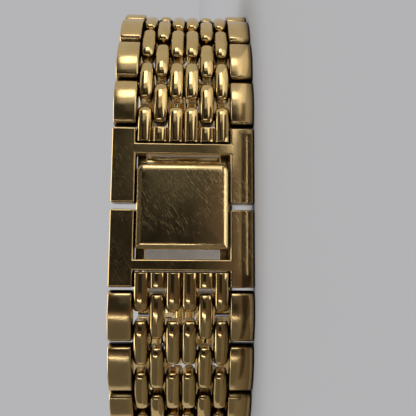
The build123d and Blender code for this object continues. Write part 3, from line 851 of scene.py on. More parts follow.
@dataclass
class Bracelet:
    """Links of both halves: satin blocks at the edges, six columns of polished links between them."""

    width: float = BRACELET_WIDTH
    rows: int = 8
    pitch: float = 3.3
    outer_column: float = 3.0
    carried_columns: tuple[int, ...] = (2, 5)
    bridging_columns: tuple[int, ...] = (1, 3, 4, 6)
    side_gap: float = 0.1
    link_gap: float = 0.03
    link_underside: float = 1.15
    block_height: float = 1.5
    block_reach: float = 1.5
    block_shoulder: float = 35.0
    block_ease: float = 0.22
    link_reach: float = 1.15
    link_crown: float = 1.25
    link_middle: float = 0.34
    link_arch: float = 2.45
    link_foot: float = 6.0
    link_plan: float = 4.3
    link_side: float = 2.3
    link_wall: float = 8.0
    pin_radius: float = 0.5
    pin_inset: float = 1.2
    ring_count: int = 26
    section_count: int = 36
    shoulder_count: int = 15
    arch_count: int = 23
    sole_count: int = 9

    @property
    def column(self) -> float:
        """Width of an inner column."""
        return (self.width - 2 * self.outer_column) / 6

    def links(self, columns: Sequence[int]) -> list[Shell]:
        """Inner links of some columns, in their row's plane: crowned bars with rounded ends.

        Args:
            columns: numbers of the columns.

        Returns:
            The shells.
        """
        reach = self.pitch / 2 + self.link_reach
        half = (self.column - self.link_gap) / 2
        share, scales = self.taper(np.linspace(-np.pi / 2, np.pi / 2, self.ring_count + 2)[1:-1])
        return [self.bar(reach * share, scales, number, half, (-reach, reach)) for number in columns]

    def taper(self, along: np.ndarray) -> tuple[np.ndarray, np.ndarray]:
        """Share of the reach and scales of the section along a rounded end.

        At angle b the share s is sin b to the power 2/n and the width is cos b to the power 2/n, where
        n is the plan's exponent. The height is 1 - s to the power m, all to the power 1/m, where m is
        the side view's exponent, which is larger below the widest line than above it.

        Args:
            along: angles from the middle, a quarter turn at a tip.

        Returns:
            Shares of the reach, and rows of width, height above and depth below the widest line.
        """
        share = power(np.sin(along), 2 / self.link_plan)
        wide = np.abs(np.cos(along)) ** (2 / self.link_plan)
        tall, deep = ((1 - np.abs(share) ** m) ** (1 / m) for m in (self.link_side, self.link_wall))
        return share, np.stack([wide, tall, deep])

    def bar(
        self, place: np.ndarray, scales: np.ndarray, column: int, half: float, poles: tuple[float | None, ...]
    ) -> Shell:
        """Crowned section carried along x.

        Args:
            place: x of each ring.
            scales: rows of its width, height and depth there, as shares of the full ones.
            column: number of its column, counted from 1.
            half: half its full width.
            poles: x of the pole at either end, None for a flat end.

        Returns:
            The shell.
        """
        middle_z = self.outer_column + (column - 0.5) * self.column
        section = crowned_section(self.section_count, self.link_arch, self.link_foot)
        wide, tall, deep = scales[:, :, None]
        top = np.maximum(section[:, 1], 0.0) * (self.link_crown - self.link_middle)
        foot = np.minimum(section[:, 1], 0.0) * (self.link_underside + self.link_middle)
        height = self.link_middle + tall * top + deep * foot
        rings = grid(place[:, None], height, middle_z + wide * section[:, 0] * half)
        return skin(rings, *(None if x is None else np.array([x, self.link_middle, middle_z]) for x in poles))

    def blocks(self) -> list[Shell]:
        """Edge blocks of a carrier row: arcs about both pins and a low arch over the middle, carried along z.

        Returns:
            Both shells, in the row's plane.
        """
        half, reach = self.pitch / 2, self.block_reach
        low, high = -math.asin(self.link_underside / reach), math.radians(self.block_shoulder)
        angle = np.linspace(low, high, self.shoulder_count)
        right = np.column_stack([half + reach * np.cos(angle), reach * np.sin(angle)])
        brow_x, brow_y = right[-1]
        rise = self.block_height - brow_y
        radius = (brow_x**2 + rise**2) / (2 * rise)
        spread = math.asin(brow_x / radius)
        arch = np.linspace(spread, -spread, self.arch_count)[1:-1]
        top = np.column_stack([radius * np.sin(arch), self.block_height - radius + radius * np.cos(arch)])
        sole = np.linspace(-right[0, 0], right[0, 0], self.sole_count)[1:-1]
        foot = np.column_stack([sole, np.full(len(sole), right[0, 1])])
        profile = np.concatenate([right, top, right[::-1] * (-1, 1), foot])
        inner = self.outer_column - self.side_gap / 2
        spans = ((0.0, inner), (self.width - inner, self.width))
        return [eased_prism(profile, low, high, self.block_ease) for low, high in spans]

    def build(self) -> None:
        """Make every row of both halves."""
        ends = (self.pin_inset, self.width - self.pin_inset)
        pins = [rod(x, *ends, self.pin_radius) for x in (-self.pitch / 2, self.pitch / 2)]
        carrier = (
            ("edge_blocks", "link_gold", LINK_SATIN, self.blocks()),
            ("carried_links", "link_gold", LINK_POLISH, self.links(self.carried_columns)),
            # the row pins take the near-black painted-shade metal
            ("row_pins", "pin_steel", PIN_PAINTED_SHADE, pins),
        )
        bridging = (("bridging_links", "link_gold", LINK_POLISH, self.links(self.bridging_columns)),)
        for half in Half:
            line = HingeLine.of(half, self.rows)
            for row, first, kinds in (("carrier_row", 1, carrier), ("bridging_row", 2, bridging)):
                for number in range(1, self.rows + 2 - first):
                    tag = f"{half.value}_{number}"
                    node = f"{row}_{tag}"
                    plane = line.plane(2 * (number - 1) + first)
                    for name, slot, finish, shells in kinds:
                        Piece(f"{name}_{tag}", node, slot, finish, (node,), plane.carry(shells)).make()


@dataclass
class Combs:
    """The four end combs, six lobes wide, which tie the rows to the clasp frames and the case."""

    bracelet: Bracelet
    heel: float = 1.0
    reach: float = 2.7
    end_reach: float = 1.1
    stub: float = 1.9
    round_run: float = 1.7
    lobe_crease: float = 0.01
    heel_steps: Triple = (0.0, 0.03, 0.1)
    heel_heights: Triple = (0.93, 0.975, 1.0)
    heel_depths: Triple = (0.98, 1.0, 1.0)
    stub_steps: Triple = (0.2, 0.06, 0.0)
    stub_heights: Triple = (1.0, 0.96, 0.88)
    web_inset: Pair = (0.06, 0.1)
    web_floor: float = 0.02
    web_top: float = 0.62
    web_ease: float = 0.1
    web_corner: float = 0.15
    twin_inset: float = 0.5
    twin_span: Pair = (-0.9, 0.35)
    twin_half: float = 0.4
    ring_count: int = 14
    corner_steps: int = 4

    def lobes(self) -> list[Shell]:
        """Six lobes, square at the heel: four rounded like a link at the tip, two stubs cut square.

        Returns:
            The shells, in the plane of the comb's chord.
        """
        bars = self.bracelet
        half = bars.column / 2 - self.lobe_crease
        tip, stub_tip = self.reach + self.end_reach, self.stub - self.heel
        heel, ones = np.array(self.heel_steps) - self.heel, np.ones(3)
        share, scales = bars.taper(np.linspace(0.0, np.pi / 2, self.ring_count)[:-1])
        place = np.concatenate([heel, tip - self.round_run + self.round_run * share])
        scales = np.hstack([[ones, self.heel_heights, self.heel_depths], scales])
        made = [bars.bar(place, scales, number, half, (None, tip)) for number in bars.bridging_columns]
        place = np.concatenate([heel, stub_tip - np.array(self.stub_steps)])
        scales = np.hstack([[ones, self.heel_heights, ones], [ones, self.stub_heights, ones]])
        return made + [bars.bar(place, scales, number, half, (None, None)) for number in bars.carried_columns]

    def webs(self) -> list[Shell]:
        """Bar that joins the lobes at their heel, and the one that joins the middle two.

        Returns:
            The shells, in the plane of the comb's chord.
        """
        bars, (near, far) = self.bracelet, self.web_inset
        floor, middle = self.web_floor - bars.link_underside, bars.width / 2
        edge = bars.outer_column + bars.side_gap
        tip = self.reach + self.end_reach - self.twin_inset
        spans = (
            (near - self.heel, self.stub - self.heel - far, floor, self.web_top, edge, bars.width - edge),
            (self.twin_inset, tip, *self.twin_span, middle - self.twin_half, middle + self.twin_half),
        )
        radii = [self.web_corner] * 4
        outlines = [rounded_polygon(corners(*span[:4]), radii, self.corner_steps) for span in spans]
        return [eased_prism(line, *span[4:], self.web_ease, 2) for line, span in zip(outlines, spans)]

    def build(self) -> None:
        """Make the combs at the clasp and at the case."""
        shells = self.lobes() + self.webs()
        for half in Half:
            line = HingeLine.of(half, self.bracelet.rows)
            case_plane = line.plane(len(line.points) - 2, 1.0, back=True)
            for end, plane in (("clasp", line.plane(0, 0.0)), ("case", case_plane)):
                node = f"{end}_comb_{half.value}"
                Piece(f"{node}_lobes", node, "link_gold", COMB_POLISH, (node,), plane.carry(shells)).make()


# Clasp


@dataclass
class Clasp:
    """H-shaped frames and the cover plate between them."""

    line_y: float
    width: float = BRACELET_WIDTH
    start: float = 0.4
    end: float = 10.05
    crossbar: Pair = (6.6, 8.05)
    rail: float = 3.0
    top: float = 1.15
    underside: float = 1.15
    crossbar_underside: float = 0.5
    edge_ease: float = 0.24
    lug_inner: float = 1.9
    lug_width: float = 1.0
    lug_x: float = 1.5
    lug_depth: float = 1.8
    lug_radius: float = 0.55
    lug_overlap: float = 0.1
    lug_ease: float = 0.06
    cover_length: float = 10.75
    cover_width: float = 11.7
    cover_top: float = 1.3
    cover_thickness: float = 0.8
    cover_ease: float = 0.05
    cover_bevel: float = 0.48
    cover_bevel_run: float = 1.05
    cover_bulge: float = 0.07
    cover_shares: tuple[float, ...] = (0.97, 0.9, 0.8, 0.68, 0.54, 0.4, 0.26, 0.12)
    upper_corner: Pair = (1.05, 0.12)
    lower_corner: Pair = (0.4, 0.08)
    rim_depth: float = 0.5
    rim_inset: float = 1.45
    rim_corner: float = 0.2
    rim_overlap: float = 0.1
    lug_count: int = 15
    bevel_count: int = 12
    corner_steps: int = 9
    rim_steps: int = 5

    def frame_pieces(self, half: Half) -> None:
        """Make one frame: two rails and a crossbar with eased edges, and a round lug under each rail.

        Args:
            half: which half of the clasp.
        """
        node = f"clasp_frame_{half.value}"
        xs = [self.start, *self.crossbar, self.end]
        ys = [-self.underside, -self.crossbar_underside, self.top]
        zs = [0.0, self.rail, self.width - self.rail, self.width]
        filled = np.zeros((3, 2, 3), bool)
        filled[:, :, [0, 2]] = True
        filled[1, 1, 1] = True
        plane = Plane((0.0, self.line_y), (half.side, 0.0), (0.0, -1.0))
        bars = plane.carry([cells(xs, ys, zs, filled)])
        Piece(f"{node}_h", node, "clasp_gold", CLASP_POLISH, (node,), bars, ease=self.edge_ease).make()
        angle = np.linspace(0.0, -np.pi, self.lug_count)
        turn = np.column_stack([np.cos(angle), np.sin(angle)]) * self.lug_radius
        root = np.array([(-self.lug_radius, self.lug_overlap), (self.lug_radius, self.lug_overlap)])
        profile = np.concatenate([turn + (self.lug_x, -self.lug_depth), root + (self.lug_x, -self.underside)])
        lows = (self.lug_inner, self.width - self.lug_inner - self.lug_width)
        lugs = [eased_prism(profile, low, low + self.lug_width, self.lug_ease, 2) for low in lows]
        Piece(f"{node}_lugs", node, "clasp_gold", INNER_GOLD, (node,), plane.carry(lugs)).make()

    def cover_outline(self, drawn: float) -> np.ndarray:
        """Plan of the cover plate in x and z.

        Args:
            drawn: how far it is drawn in from the plate's own edge.

        Returns:
            The outline.
        """
        radii = [max(radius - drawn, least) for radius, least in (self.upper_corner, self.lower_corner)]
        halves = (self.cover_length / 2 - drawn, self.cover_width / 2 - drawn)
        return rounded_rectangle(*halves, np.repeat(radii, 2), self.corner_steps)

    def cover(self) -> None:
        """Make the cover plate: eased underside, wall, a rounded bevel, and a top that bulges slightly.

        At angle a on the bevel the outline is drawn in by run * (1 - cos a) and stands height * sin a up.
        Over the top the outline shrinks by a share s to its middle and rises by the bulge times
        1 - s squared.
        """
        side = self.cover_top - self.cover_bevel - self.cover_bulge
        low = self.cover_top - self.cover_thickness
        turn = np.linspace(0.0, np.pi / 2, self.bevel_count)
        stations = [(self.cover_ease, low), (0.0, low + self.cover_ease)]
        stations += zip(self.cover_bevel_run * (1 - np.cos(turn)), side + self.cover_bevel * np.sin(turn))
        rings = [level(self.cover_outline(drawn), self.line_y - height) for drawn, height in stations]
        flat = self.cover_outline(self.cover_bevel_run)
        for share in self.cover_shares:
            height = side + self.cover_bevel + self.cover_bulge * (1 - share**2)
            rings.append(level(flat * share, self.line_y - height))
        pole = level(np.zeros((1, 2)), self.line_y - self.cover_top)[0]
        halves = (self.cover_length / 2 - self.rim_inset, self.cover_width / 2 - self.rim_inset)
        rim = rounded_rectangle(*halves, [self.rim_corner] * 4, self.rim_steps)
        span = (low - self.rim_depth, low + self.rim_overlap)
        skirt = [level(rim, self.line_y - height) for height in span]
        shells = [skin(np.stack(rings), None, pole), skin(np.stack(skirt))]
        Piece("cover_plate", "clasp_base", "cover_gold", COVER_POLISH, ("clasp_cover_plate",), shells).make()

    def build(self) -> None:
        """Make the clasp's visible pieces."""
        for half in Half:
            self.frame_pieces(half)
        self.cover()


# Watch head


@dataclass
class Head:
    """Case, crystal, dial, batons, hands and crown, with heights over the line of the lug hinges."""

    line_y: float
    width: float = BRACELET_WIDTH
    half_length: float = 13.3
    underside: float = 1.3
    top: float = 3.3
    bezel: float = 0.9
    corner: float = 0.45
    opening: Pair = (10.85, 6.25)
    lip: Pair = (10.0, 5.4)
    cavity: Pair = (11.2, 6.5)
    seat: float = 2.3
    lip_underside: float = 1.9
    lug_x: float = 16.0
    lug_tilt: float = 20.0
    lug_tip: float = -0.85
    lug_root: float = 4.2
    lug_column: float = 3.0
    lug_thickness: float = 1.15
    lug_ease: float = 0.2
    bridge_start: float = 1.55
    bridge_overlap: float = 0.3
    lug_radii: tuple[float, ...] = (0.5, 0.2, 0.2, 0.7)
    bridge_radii: tuple[float, ...] = (0.3, 0.2, 0.2, 0.3)
    crystal_half: Pair = (10.8, 6.2)
    crystal_span: Pair = (2.5, 3.5)
    crystal_ease: float = 0.22
    crystal_bulge: float = 0.06
    dial_half: Pair = (11.0, 6.3)
    dial_top: float = 1.85
    dial_thickness: float = 0.4
    dial_ease: float = 0.04
    slab_corner: float = 0.3
    slab_foot: float = 0.03
    least_corner: float = 0.05
    slab_shares: tuple[float, ...] = (0.94, 0.84, 0.7, 0.52, 0.34, 0.16)
    baton: Triple = (1.3, 0.35, 0.12)
    baton_track: Pair = (8.4, 3.9)
    baton_sink: float = 0.03
    baton_steps: tuple[float, ...] = (-0.5, -0.44, 0.44, 0.5)
    baton_taper: tuple[float, ...] = (0.72, 1.0, 1.0, 0.72)
    baton_ridge: tuple[float, ...] = (0.0, 0.6, 1.0, 0.6, 0.0)
    hand_gap: float = 0.12
    hand_thickness: float = 0.12
    hand_width: float = 0.6
    hand_steps: tuple[float, ...] = (-0.16, -0.12, 0.18, 0.6, 0.92, 0.985)
    hand_taper: tuple[float, ...] = (0.5, 0.62, 1.0, 0.72, 0.42, 0.2)
    hand_ridge: tuple[float, ...] = (0.0, 0.35, 1.0, 0.35, 0.0)
    hand_tip: float = 0.3
    hour_length: float = 3.2
    minute_length: float = 4.4
    hour_angle: float = 60.0
    tube_radius: float = 0.5
    arbor_radius: float = 0.25
    boss: float = 0.35
    pipe_foot: float = 0.22
    crown_x: float = 2.0
    crown_level: float = 0.2
    crown_radius: float = 1.6
    crown_gap: float = 0.15
    crown_length: float = 1.9
    flutes: int = 24
    flute_depth: float = 0.09
    flute_steps: int = 8
    corner_steps: int = 7

    def ring(self, half_x: float, half_z: float, radius: float, height: float) -> np.ndarray:
        """Rounded rectangle at a height over the lug hinge line."""
        return level(rounded_rectangle(half_x, half_z, [radius] * 4, self.corner_steps), self.line_y + height)

    def case(self) -> None:
        """Make the case: one section carried round the rectangle, and a bridge and two lugs at each end.

        Each station of the section gives how far it is drawn in from the rim, its corner's radius and
        its height outside, and its two half sizes, radius and height inside.
        """
        slope, top, low = self.bezel, self.top, -self.underside
        outside = (
            (0.2, self.corner - 0.15, low),
            (0.06, self.corner - 0.05, low + 0.06),
            (0.0, self.corner, low + 0.2),
            (0.0, self.corner, top - slope - 0.1),
            (0.05, self.corner, top - slope + 0.04),
            (slope * 0.42, self.corner, top - slope * 0.50),
            (slope * 0.9, self.corner, top - 0.06),
            (slope + 0.08, self.corner, top),
        )
        inside = (
            (self.opening[0] + 0.08, self.opening[1] + 0.08, 0.3, top),
            (*self.opening, 0.25, top - 0.08),
            (*self.opening, 0.25, self.seat),
            (*self.lip, 0.2, self.seat),
            (*self.lip, 0.2, self.lip_underside),
            (*self.cavity, 0.25, self.lip_underside),
            (*self.cavity, 0.25, low),
        )
        rings = [self.ring(self.half_length - d, self.width / 2 - d, *rest) for d, *rest in outside]
        shells = [skin(np.stack(rings + [self.ring(*station) for station in inside]), loop=True)]
        tilt, half, column = math.radians(180 - self.lug_tilt), self.lug_thickness, self.lug_column
        lug = rounded_polygon(corners(self.lug_tip, self.lug_root, -half, half), self.lug_radii, 8)
        spots = corners(self.bridge_start, self.lug_root, -half, half)
        bridge = rounded_polygon(spots, self.bridge_radii, 6)
        start = column - self.bridge_overlap
        ends = [
            eased_prism(lug, 0.0, column, self.lug_ease),
            eased_prism(lug, self.width - column, self.width, self.lug_ease),
            eased_prism(bridge, start, self.width - start, self.lug_ease / 2, 2),
        ]
        for end in Half:
            heading = (end.side * math.cos(tilt), math.sin(tilt))
            outward = (end.side * math.sin(tilt), -math.cos(tilt))
            shells += Plane((end.side * self.lug_x, self.line_y), heading, outward).carry(ends)
        Piece("case_body", "case", "case_gold", CASE_POLISH, ("case_middle",), shells, crease=30.0).make()

    def slab(self, half: Pair, low: float, high: float, ease: float, bulge: float) -> Shell:
        """Rectangular plate with an eased rim and a slight bulge over its top.

        The rim is a quarter round. Over the top the outline shrinks by a share s to its middle and rises
        by the bulge times 1 - s squared.

        Args:
            half: half sizes along x and z.
            low: height of its underside.
            high: height of its middle.
            ease: radius of the top rim.
            bulge: how much the middle stands over the rim.

        Returns:
            The shell.
        """
        rim = high - bulge
        stations = [(self.slab_foot, low), (0.0, low + self.slab_foot), (0.0, rim - ease)]
        turn = np.linspace(0, np.pi / 2, 5)[1:]
        stations += [(ease * (1 - math.cos(a)), rim - ease + ease * math.sin(a)) for a in turn]
        rings = [
            self.ring(half[0] - d, half[1] - d, max(self.slab_corner - d, self.least_corner), height)
            for d, height in stations
        ]
        outline = rings[-1]
        middle = np.array([0.0, self.line_y + high, self.width / 2])
        for share in self.slab_shares:
            ring = middle + (outline - middle) * share
            ring[:, 1] = self.line_y + rim + bulge * (1 - share**2)
            rings.append(ring)
        return skin(np.stack(rings), None, middle)

    def face(self) -> None:
        """Make the crystal, the dial and its twelve gabled batons."""
        crystal = self.slab(self.crystal_half, *self.crystal_span, self.crystal_ease, self.crystal_bulge)
        Piece("crystal_glass", "case", "crystal_glass", Glass(), ("crystal",), [crystal]).make()
        span = (self.dial_top - self.dial_thickness, self.dial_top)
        dial = self.slab(self.dial_half, *span, self.dial_ease, 0.0)
        Piece("dial_plate", "case", "dial_face", DialPaint(), ("dial",), [dial]).make()
        length, width, height = self.baton
        along, taper = np.array(self.baton_steps) * length, np.array(self.baton_taper)
        foot = self.dial_top - self.baton_sink
        tall = foot + taper[:, None] * np.array(self.baton_ridge) * (height + self.baton_sink)
        batons = []
        for hour in range(12):
            turn = math.radians(30 * hour)
            direction = (math.cos(turn), math.sin(turn))
            share = max(abs(part) / track for part, track in zip(direction, self.baton_track))
            batons.append(skin(self.ridge(np.array(direction) / share, turn, along, taper * width / 2, tall)))
        Piece("hour_batons", "case", "hand_gold", HAND_POLISH, ("dial",), batons, crease=20.0).make()

    def ridge(
        self, centre: Sequence[float], turn: float, along: np.ndarray, half: np.ndarray, height: np.ndarray
    ) -> np.ndarray:
        """Rings of a bar with a ridge: a five-sided section carried along a line over the dial.

        A point stands at the centre plus its distance along times the direction and its distance
        across times the direction turned by a quarter.

        Args:
            centre: its middle in x and in distance towards 9 o'clock.
            turn: its direction in radians.
            along: place of each ring.
            half: half its width there.
            height: height of each point.

        Returns:
            The rings.
        """
        reach = along[:, None]
        spread = half[:, None] * np.array([-1.0, -1.0, 0.0, 1.0, 1.0])
        return grid(
            centre[0] + reach * math.cos(turn) - spread * math.sin(turn),
            self.line_y + height,
            self.width / 2 - (centre[1] + reach * math.sin(turn) + spread * math.cos(turn)),
        )

    def turned(self, stations: Sequence[Pair]) -> Shell:
        """Pairs of radius and height over the lug hinge line, turned about the hands' axis.

        Args:
            stations: the pairs.

        Returns:
            The shell.
        """
        across, along = circle(TURNED_SIDES)
        radius, height = np.array(stations, float).T[:, :, None]
        return skin(grid(radius * across, self.line_y + height, self.width / 2 + radius * along))

    def hands(self) -> None:
        """Make both hands, ridged and narrowing to their tips, each with its boss and its pipe or arbor."""
        thick = self.hand_thickness
        hour_low = self.dial_top + self.baton[2] + self.hand_gap
        minute_low = hour_low + thick + self.hand_gap
        share, half = np.array(self.hand_steps), np.array(self.hand_taper) * self.hand_width / 2
        up = np.array(self.hand_ridge) * thick
        for name, turn, length, low, radius in (
            ("hour_hand", math.radians(self.hour_angle), self.hour_length, hour_low, self.tube_radius),
            ("minute_hand", 0.0, self.minute_length, minute_low, self.arbor_radius),
        ):
            tip_x, tip_z = length * math.cos(turn), self.width / 2 - length * math.sin(turn)
            tip = np.array([tip_x, self.line_y + low + thick * self.hand_tip, tip_z])
            blade = skin(self.ridge((0.0, 0.0), turn, share * length, half, low + up), None, tip)
            wide = radius + self.boss
            high = low + thick
            disc = [(wide - 0.04, low), (wide, low + 0.03), (wide, high - 0.05), (wide - 0.05, high)]
            pipe = [(radius, self.pipe_foot), (radius, low + thick * 0.5)]
            shells = [blade, self.turned(disc), self.turned(pipe)]
            Piece(f"{name}_ridged", name, "hand_gold", HAND_POLISH, (name,), shells, crease=22.0).make()

    def crown(self) -> None:
        """Make the fluted crown.

        Each station gives how far it is drawn in, its z and its share of the flutes. At angle a its
        radius is less by that share of the flute depth times half of 1 - cos(n a), for n flutes.
        """
        radius, low = self.crown_radius, self.width + self.crown_gap
        high = low + self.crown_length
        stations = np.array(
            [
                (0.25, low, 0.0),
                (0.08, low + 0.06, 0.5),
                (0.0, low + 0.2, 1.0),
                (0.0, high - 0.42, 1.0),
                (0.05, high - 0.27, 0.8),
                (0.16, high - 0.14, 0.3),
                (0.34, high - 0.06, 0.0),
                (0.6, high - 0.045, 0.0),
                (radius * 0.7, high - 0.01, 0.0),
            ]
        )
        angle = np.linspace(0, 2 * np.pi, self.flutes * self.flute_steps, endpoint=False)
        flute = self.flute_depth * (1 - np.cos(self.flutes * angle)) / 2
        size = radius - stations[:, :1] - stations[:, 2:] * flute[None]
        middle = (self.crown_x, self.line_y + self.crown_level)
        rings = grid(middle[0] + size * np.cos(angle), middle[1] + size * np.sin(angle), stations[:, 1:2])
        shell = skin(rings, None, np.array([*middle, high]))
        Piece("crown_fluted", "crown", "case_gold", CASE_POLISH, ("crown",), [shell]).make()

    def build(self) -> None:
        """Make the head's visible pieces."""
        for step in (self.case, self.face, self.hands, self.crown):
            step()


# Pieces that keep their CAD shape


@dataclass
class InnerWorks:
    """CAD nodes that keep their shape: their finish, the width of their eased edges and their names."""

    groups: tuple[tuple[Finish, float, tuple[str, ...]], ...] = (
        (INNER_GOLD, 0.08, ("clasp_base",)),
        (ARM_STEEL, 0.08, ("clasp_arm_12", "clasp_arm_6")),
        (PIN_STEEL, 0.0, ("arm_hinge_pin_12", "arm_hinge_pin_6", "clasp_comb_pin_12", "clasp_comb_pin_6")),
        (PIN_STEEL, 0.0, ("spring_bar_12", "spring_bar_6", "back_screws", "battery", "winding_stem")),
        (BACK_STEEL, 0.1, ("case_back",)),
        (BACK_SEAL, 0.0, ("back_gasket",)),
        (CRYSTAL_SEAL, 0.0, ("crystal_gasket",)),
        (MOVEMENT_BRASS, 0.0, ("movement",)),
        (HOLDER_PLASTIC, 0.0, ("movement_holder",)),
    )

    def build(self) -> None:
        """Dress every node that is still shown."""
        for finish, ease, names in self.groups:
            for name in names:
                made = frame["nodes"][name]
                made.data.materials.clear()
                made.data.materials.append(dressed(finish))
                if ease:
                    ease_edges(made, ease, weld=True)
                LOG.info("%s keeps its shape, finished in %s", name, finish.name)


# Studio


@dataclass(frozen=True)
class Card:
    """A lamp or a card in the studio: where it stands, its size, and its power, glow or colour."""

    name: str
    place: Triple
    aim: Triple
    size: Pair
    power: float = 0.0
    glow: float = 0.0
    colour: Triple = BLACK
    outline: tuple[Pair, ...] = ()

    @classmethod
    def around(cls, name: str, tilt: float, rise: float, distance: float, size: Pair, **look: Any) -> "Card":
        """Card that faces the clasp from a direction.

        Args:
            name: its name.
            tilt: degrees from straight in front towards 12 o'clock.
            rise: degrees over the floor.
            distance: how far it stands from the clasp.
            size: its size.
            look: its glow or colour.

        Returns:
            The card.
        """
        across, up = math.radians(tilt), math.radians(rise)
        direction = (math.sin(across) * math.cos(up), -math.cos(across) * math.cos(up), math.sin(up))
        place = tuple(spot + distance * part for spot, part in zip(CLASP_MIDDLE, direction))
        return cls(name, place, CLASP_MIDDLE, size, **look)

    @classmethod
    def lying(cls, name: str, colour: Triple, *outline: Pair) -> "Card":
        """Card that lies on the floor, its outline given in x and y."""
        return cls(name, (0.0, 0.0, 0.0), (0.0, 0.0, -1.0), (0.0, 0.0), colour=colour, outline=outline)

    def points(self) -> list[Triple]:
        """Corners of a card in metres.

        Returns:
            Its outline just over the floor, or else its rectangle in its own axes.
        """
        half_x, half_y = self.size[0] / 2, self.size[1] / 2
        flat = self.outline or corners(-half_x, half_x, -half_y, half_y)
        lift = CARD_LIFT if self.outline else 0.0
        return [(x * METRES, y * METRES, lift * METRES) for x, y in flat]


@dataclass
class Studio:
    """Camera, pale floor and backdrop, soft lamps and dark cards."""

    focal_pixels: float = 480.0
    image_pixels: float = 416.0
    sensor: float = 36.0
    clip: Pair = (0.005, 20.0)
    turn: Triple = (-6.91, 1.99, -0.61)
    shift: Triple = (-3.22, 0.11, 60.9)
    target: Triple = (0.0, -18.265, 9.0)
    floor_colour: Triple = (0.50, 0.50, 0.51)
    backdrop_colour: Triple = (0.46, 0.46, 0.47)
    floor_rings: Pair = (250.0, 600.0)
    floor_end: float = 900.0
    bend: float = 350.0
    wall: float = 1100.0
    bend_rings: int = 17
    floor_drop: float = 0.05
    glow_start: float = 0.25
    glow_full: float = 0.80
    world_strength: float = 0.45
    cards: tuple[Card, ...] = (
        Card("softbox_ceiling", (0.0, 60.0, 850.0), (0.0, 60.0, 0.0), (900.0, 900.0), 4.7),
        Card.around("glow_card_twelve", 50.0, 6.0, 330.0, (95.0, 110.0), glow=2.7),
        Card("glow_card_floor", (90.0, -93.5, 1.6), (89.2, -92.86, 100.0), (24.0, 190.0), glow=1.15),
        Card("glow_card_front", (0.5, -23.5, 0.7), (0.5, -23.4, 100.0), (18.0, 5.0), glow=1.5),
        Card.around("glow_card_six", -22.0, 14.0, 320.0, (14.0, 180.0), glow=3.2),
        Card.around("dark_card_front", 1.0, 12.0, 342.0, (310.0, 170.0), colour=(0.010, 0.009, 0.008)),
        Card.around("dark_card_twelve", 42.0, 30.0, 350.0, (210.0, 170.0), colour=(0.06, 0.05, 0.045)),
        # low brown strip in front of the cover plate: painted shade of the floor, seen only in the metal's
        # reflections
        Card("floor_shade_strip", (-10.5, -21.5, 0.7), (-10.5, 0.0, 0.7), (41.0, 1.3), colour=FLOOR_SHADE_BROWN),
        Card.around("olive_card_twelve", 17.5, 3.0, 338.0, (115.0, 66.0), colour=(0.10, 0.10, 0.095)),
        Card.around("brown_card_six", -16.0, 12.0, 332.0, (46.0, 170.0), colour=(0.22, 0.12, 0.09)),
        Card.around("grey_card_six", -58.0, 20.0, 345.0, (430.0, 300.0), colour=(0.21, 0.20, 0.19)),
        Card.around("brown_card_high", 0.0, 50.0, 346.0, (430.0, 300.0), colour=(0.14, 0.11, 0.09)),
        # brown sheet on the floor straight in front: painted shadow on the floor, seen only in the metal's
        # reflections
        Card.lying(
            "brown_card_floor",
            FLOOR_SHADE_BROWN,
            *((-14.0, -20.0), (-9.0, -23.0), (15.5, -23.0), (47.6, -75.0), (-39.6, -75.0)),
        ),
        Card.lying(
            "dark_card_floor",
            (0.03, 0.021, 0.017),
            *((-39.6, -75.0), (47.6, -75.0), (100.0, -160.0), (175.0, -530.0), (-252.0, -530.0)),
        ),
        Card.lying(
            "olive_card_floor",
            (0.16, 0.14, 0.11),
            *((-260.0, -6.0), (-30.0, -6.0), (-14.0, -20.0)),
            *((-39.6, -75.0), (-252.0, -530.0), (-260.0, -530.0)),
        ),
        Card.lying(
            "white_card_floor",
            (0.94, 0.94, 0.94),
            *((15.5, -23.0), (21.0, -15.5), (140.0, -110.0), (100.0, -160.0)),
        ),
    )

    def camera(self) -> None:
        """Place the camera from the fitted turns and shift.

        The base axes look along +y with +x up. The turns about x, y and z follow them, and a point p
        stands at R B (p - target) + shift in the camera's axes, so the camera's own place is
        target - (R B) transposed times the shift.
        """
        base = np.array([[0.0, 0.0, -1.0], [1.0, 0.0, 0.0], [0.0, -1.0, 0.0]])
        turns = [Matrix.Rotation(math.radians(a), 3, axis) for a, axis in zip(self.turn, "XYZ")]
        rotation = np.array(turns[2] @ turns[1] @ turns[0]) @ base
        place = np.array(self.target) - rotation.T @ (np.array(self.shift) * (1.0, 1.0, -1.0))
        data = bpy.data.cameras.new("camera")
        data.sensor_width = self.sensor
        data.lens = self.focal_pixels / self.image_pixels * self.sensor
        data.clip_start, data.clip_end = self.clip
        made = put("camera", data)
        made.matrix_world = Matrix.Translation(Vector(place * METRES)) @ Matrix(rotation.T.tolist()).to_4x4()
        bpy.context.scene.camera = made

    def drifting(self, graph: Graph, place: Value, colour: Triple) -> Value:
        """Colour with a faint drift over soft lumps, for matt paper."""
        return graph.blend(graph.noise(place, (30, 30, 30)), tuple(c * 0.97 for c in colour), colour)

    def card_material(self, card: Card) -> bpy.types.Material:
        """Surface that only glows, for a card that the metal mirrors as light, or else matt paper.

        Args:
            card: the card.

        Returns:
            The material.
        """
        graph = Graph(card.name)
        if not card.glow:
            colour = self.drifting(graph, graph.place(), card.colour)
            return graph.surface({"Base Color": colour, "Roughness": 0.9})
        light = {"Emission Color": (1.0, 1.0, 1.0, 1.0), "Emission Strength": card.glow}
        return graph.surface({"Base Color": (*BLACK, 1.0), "Specular IOR Level": 0.0, **light})

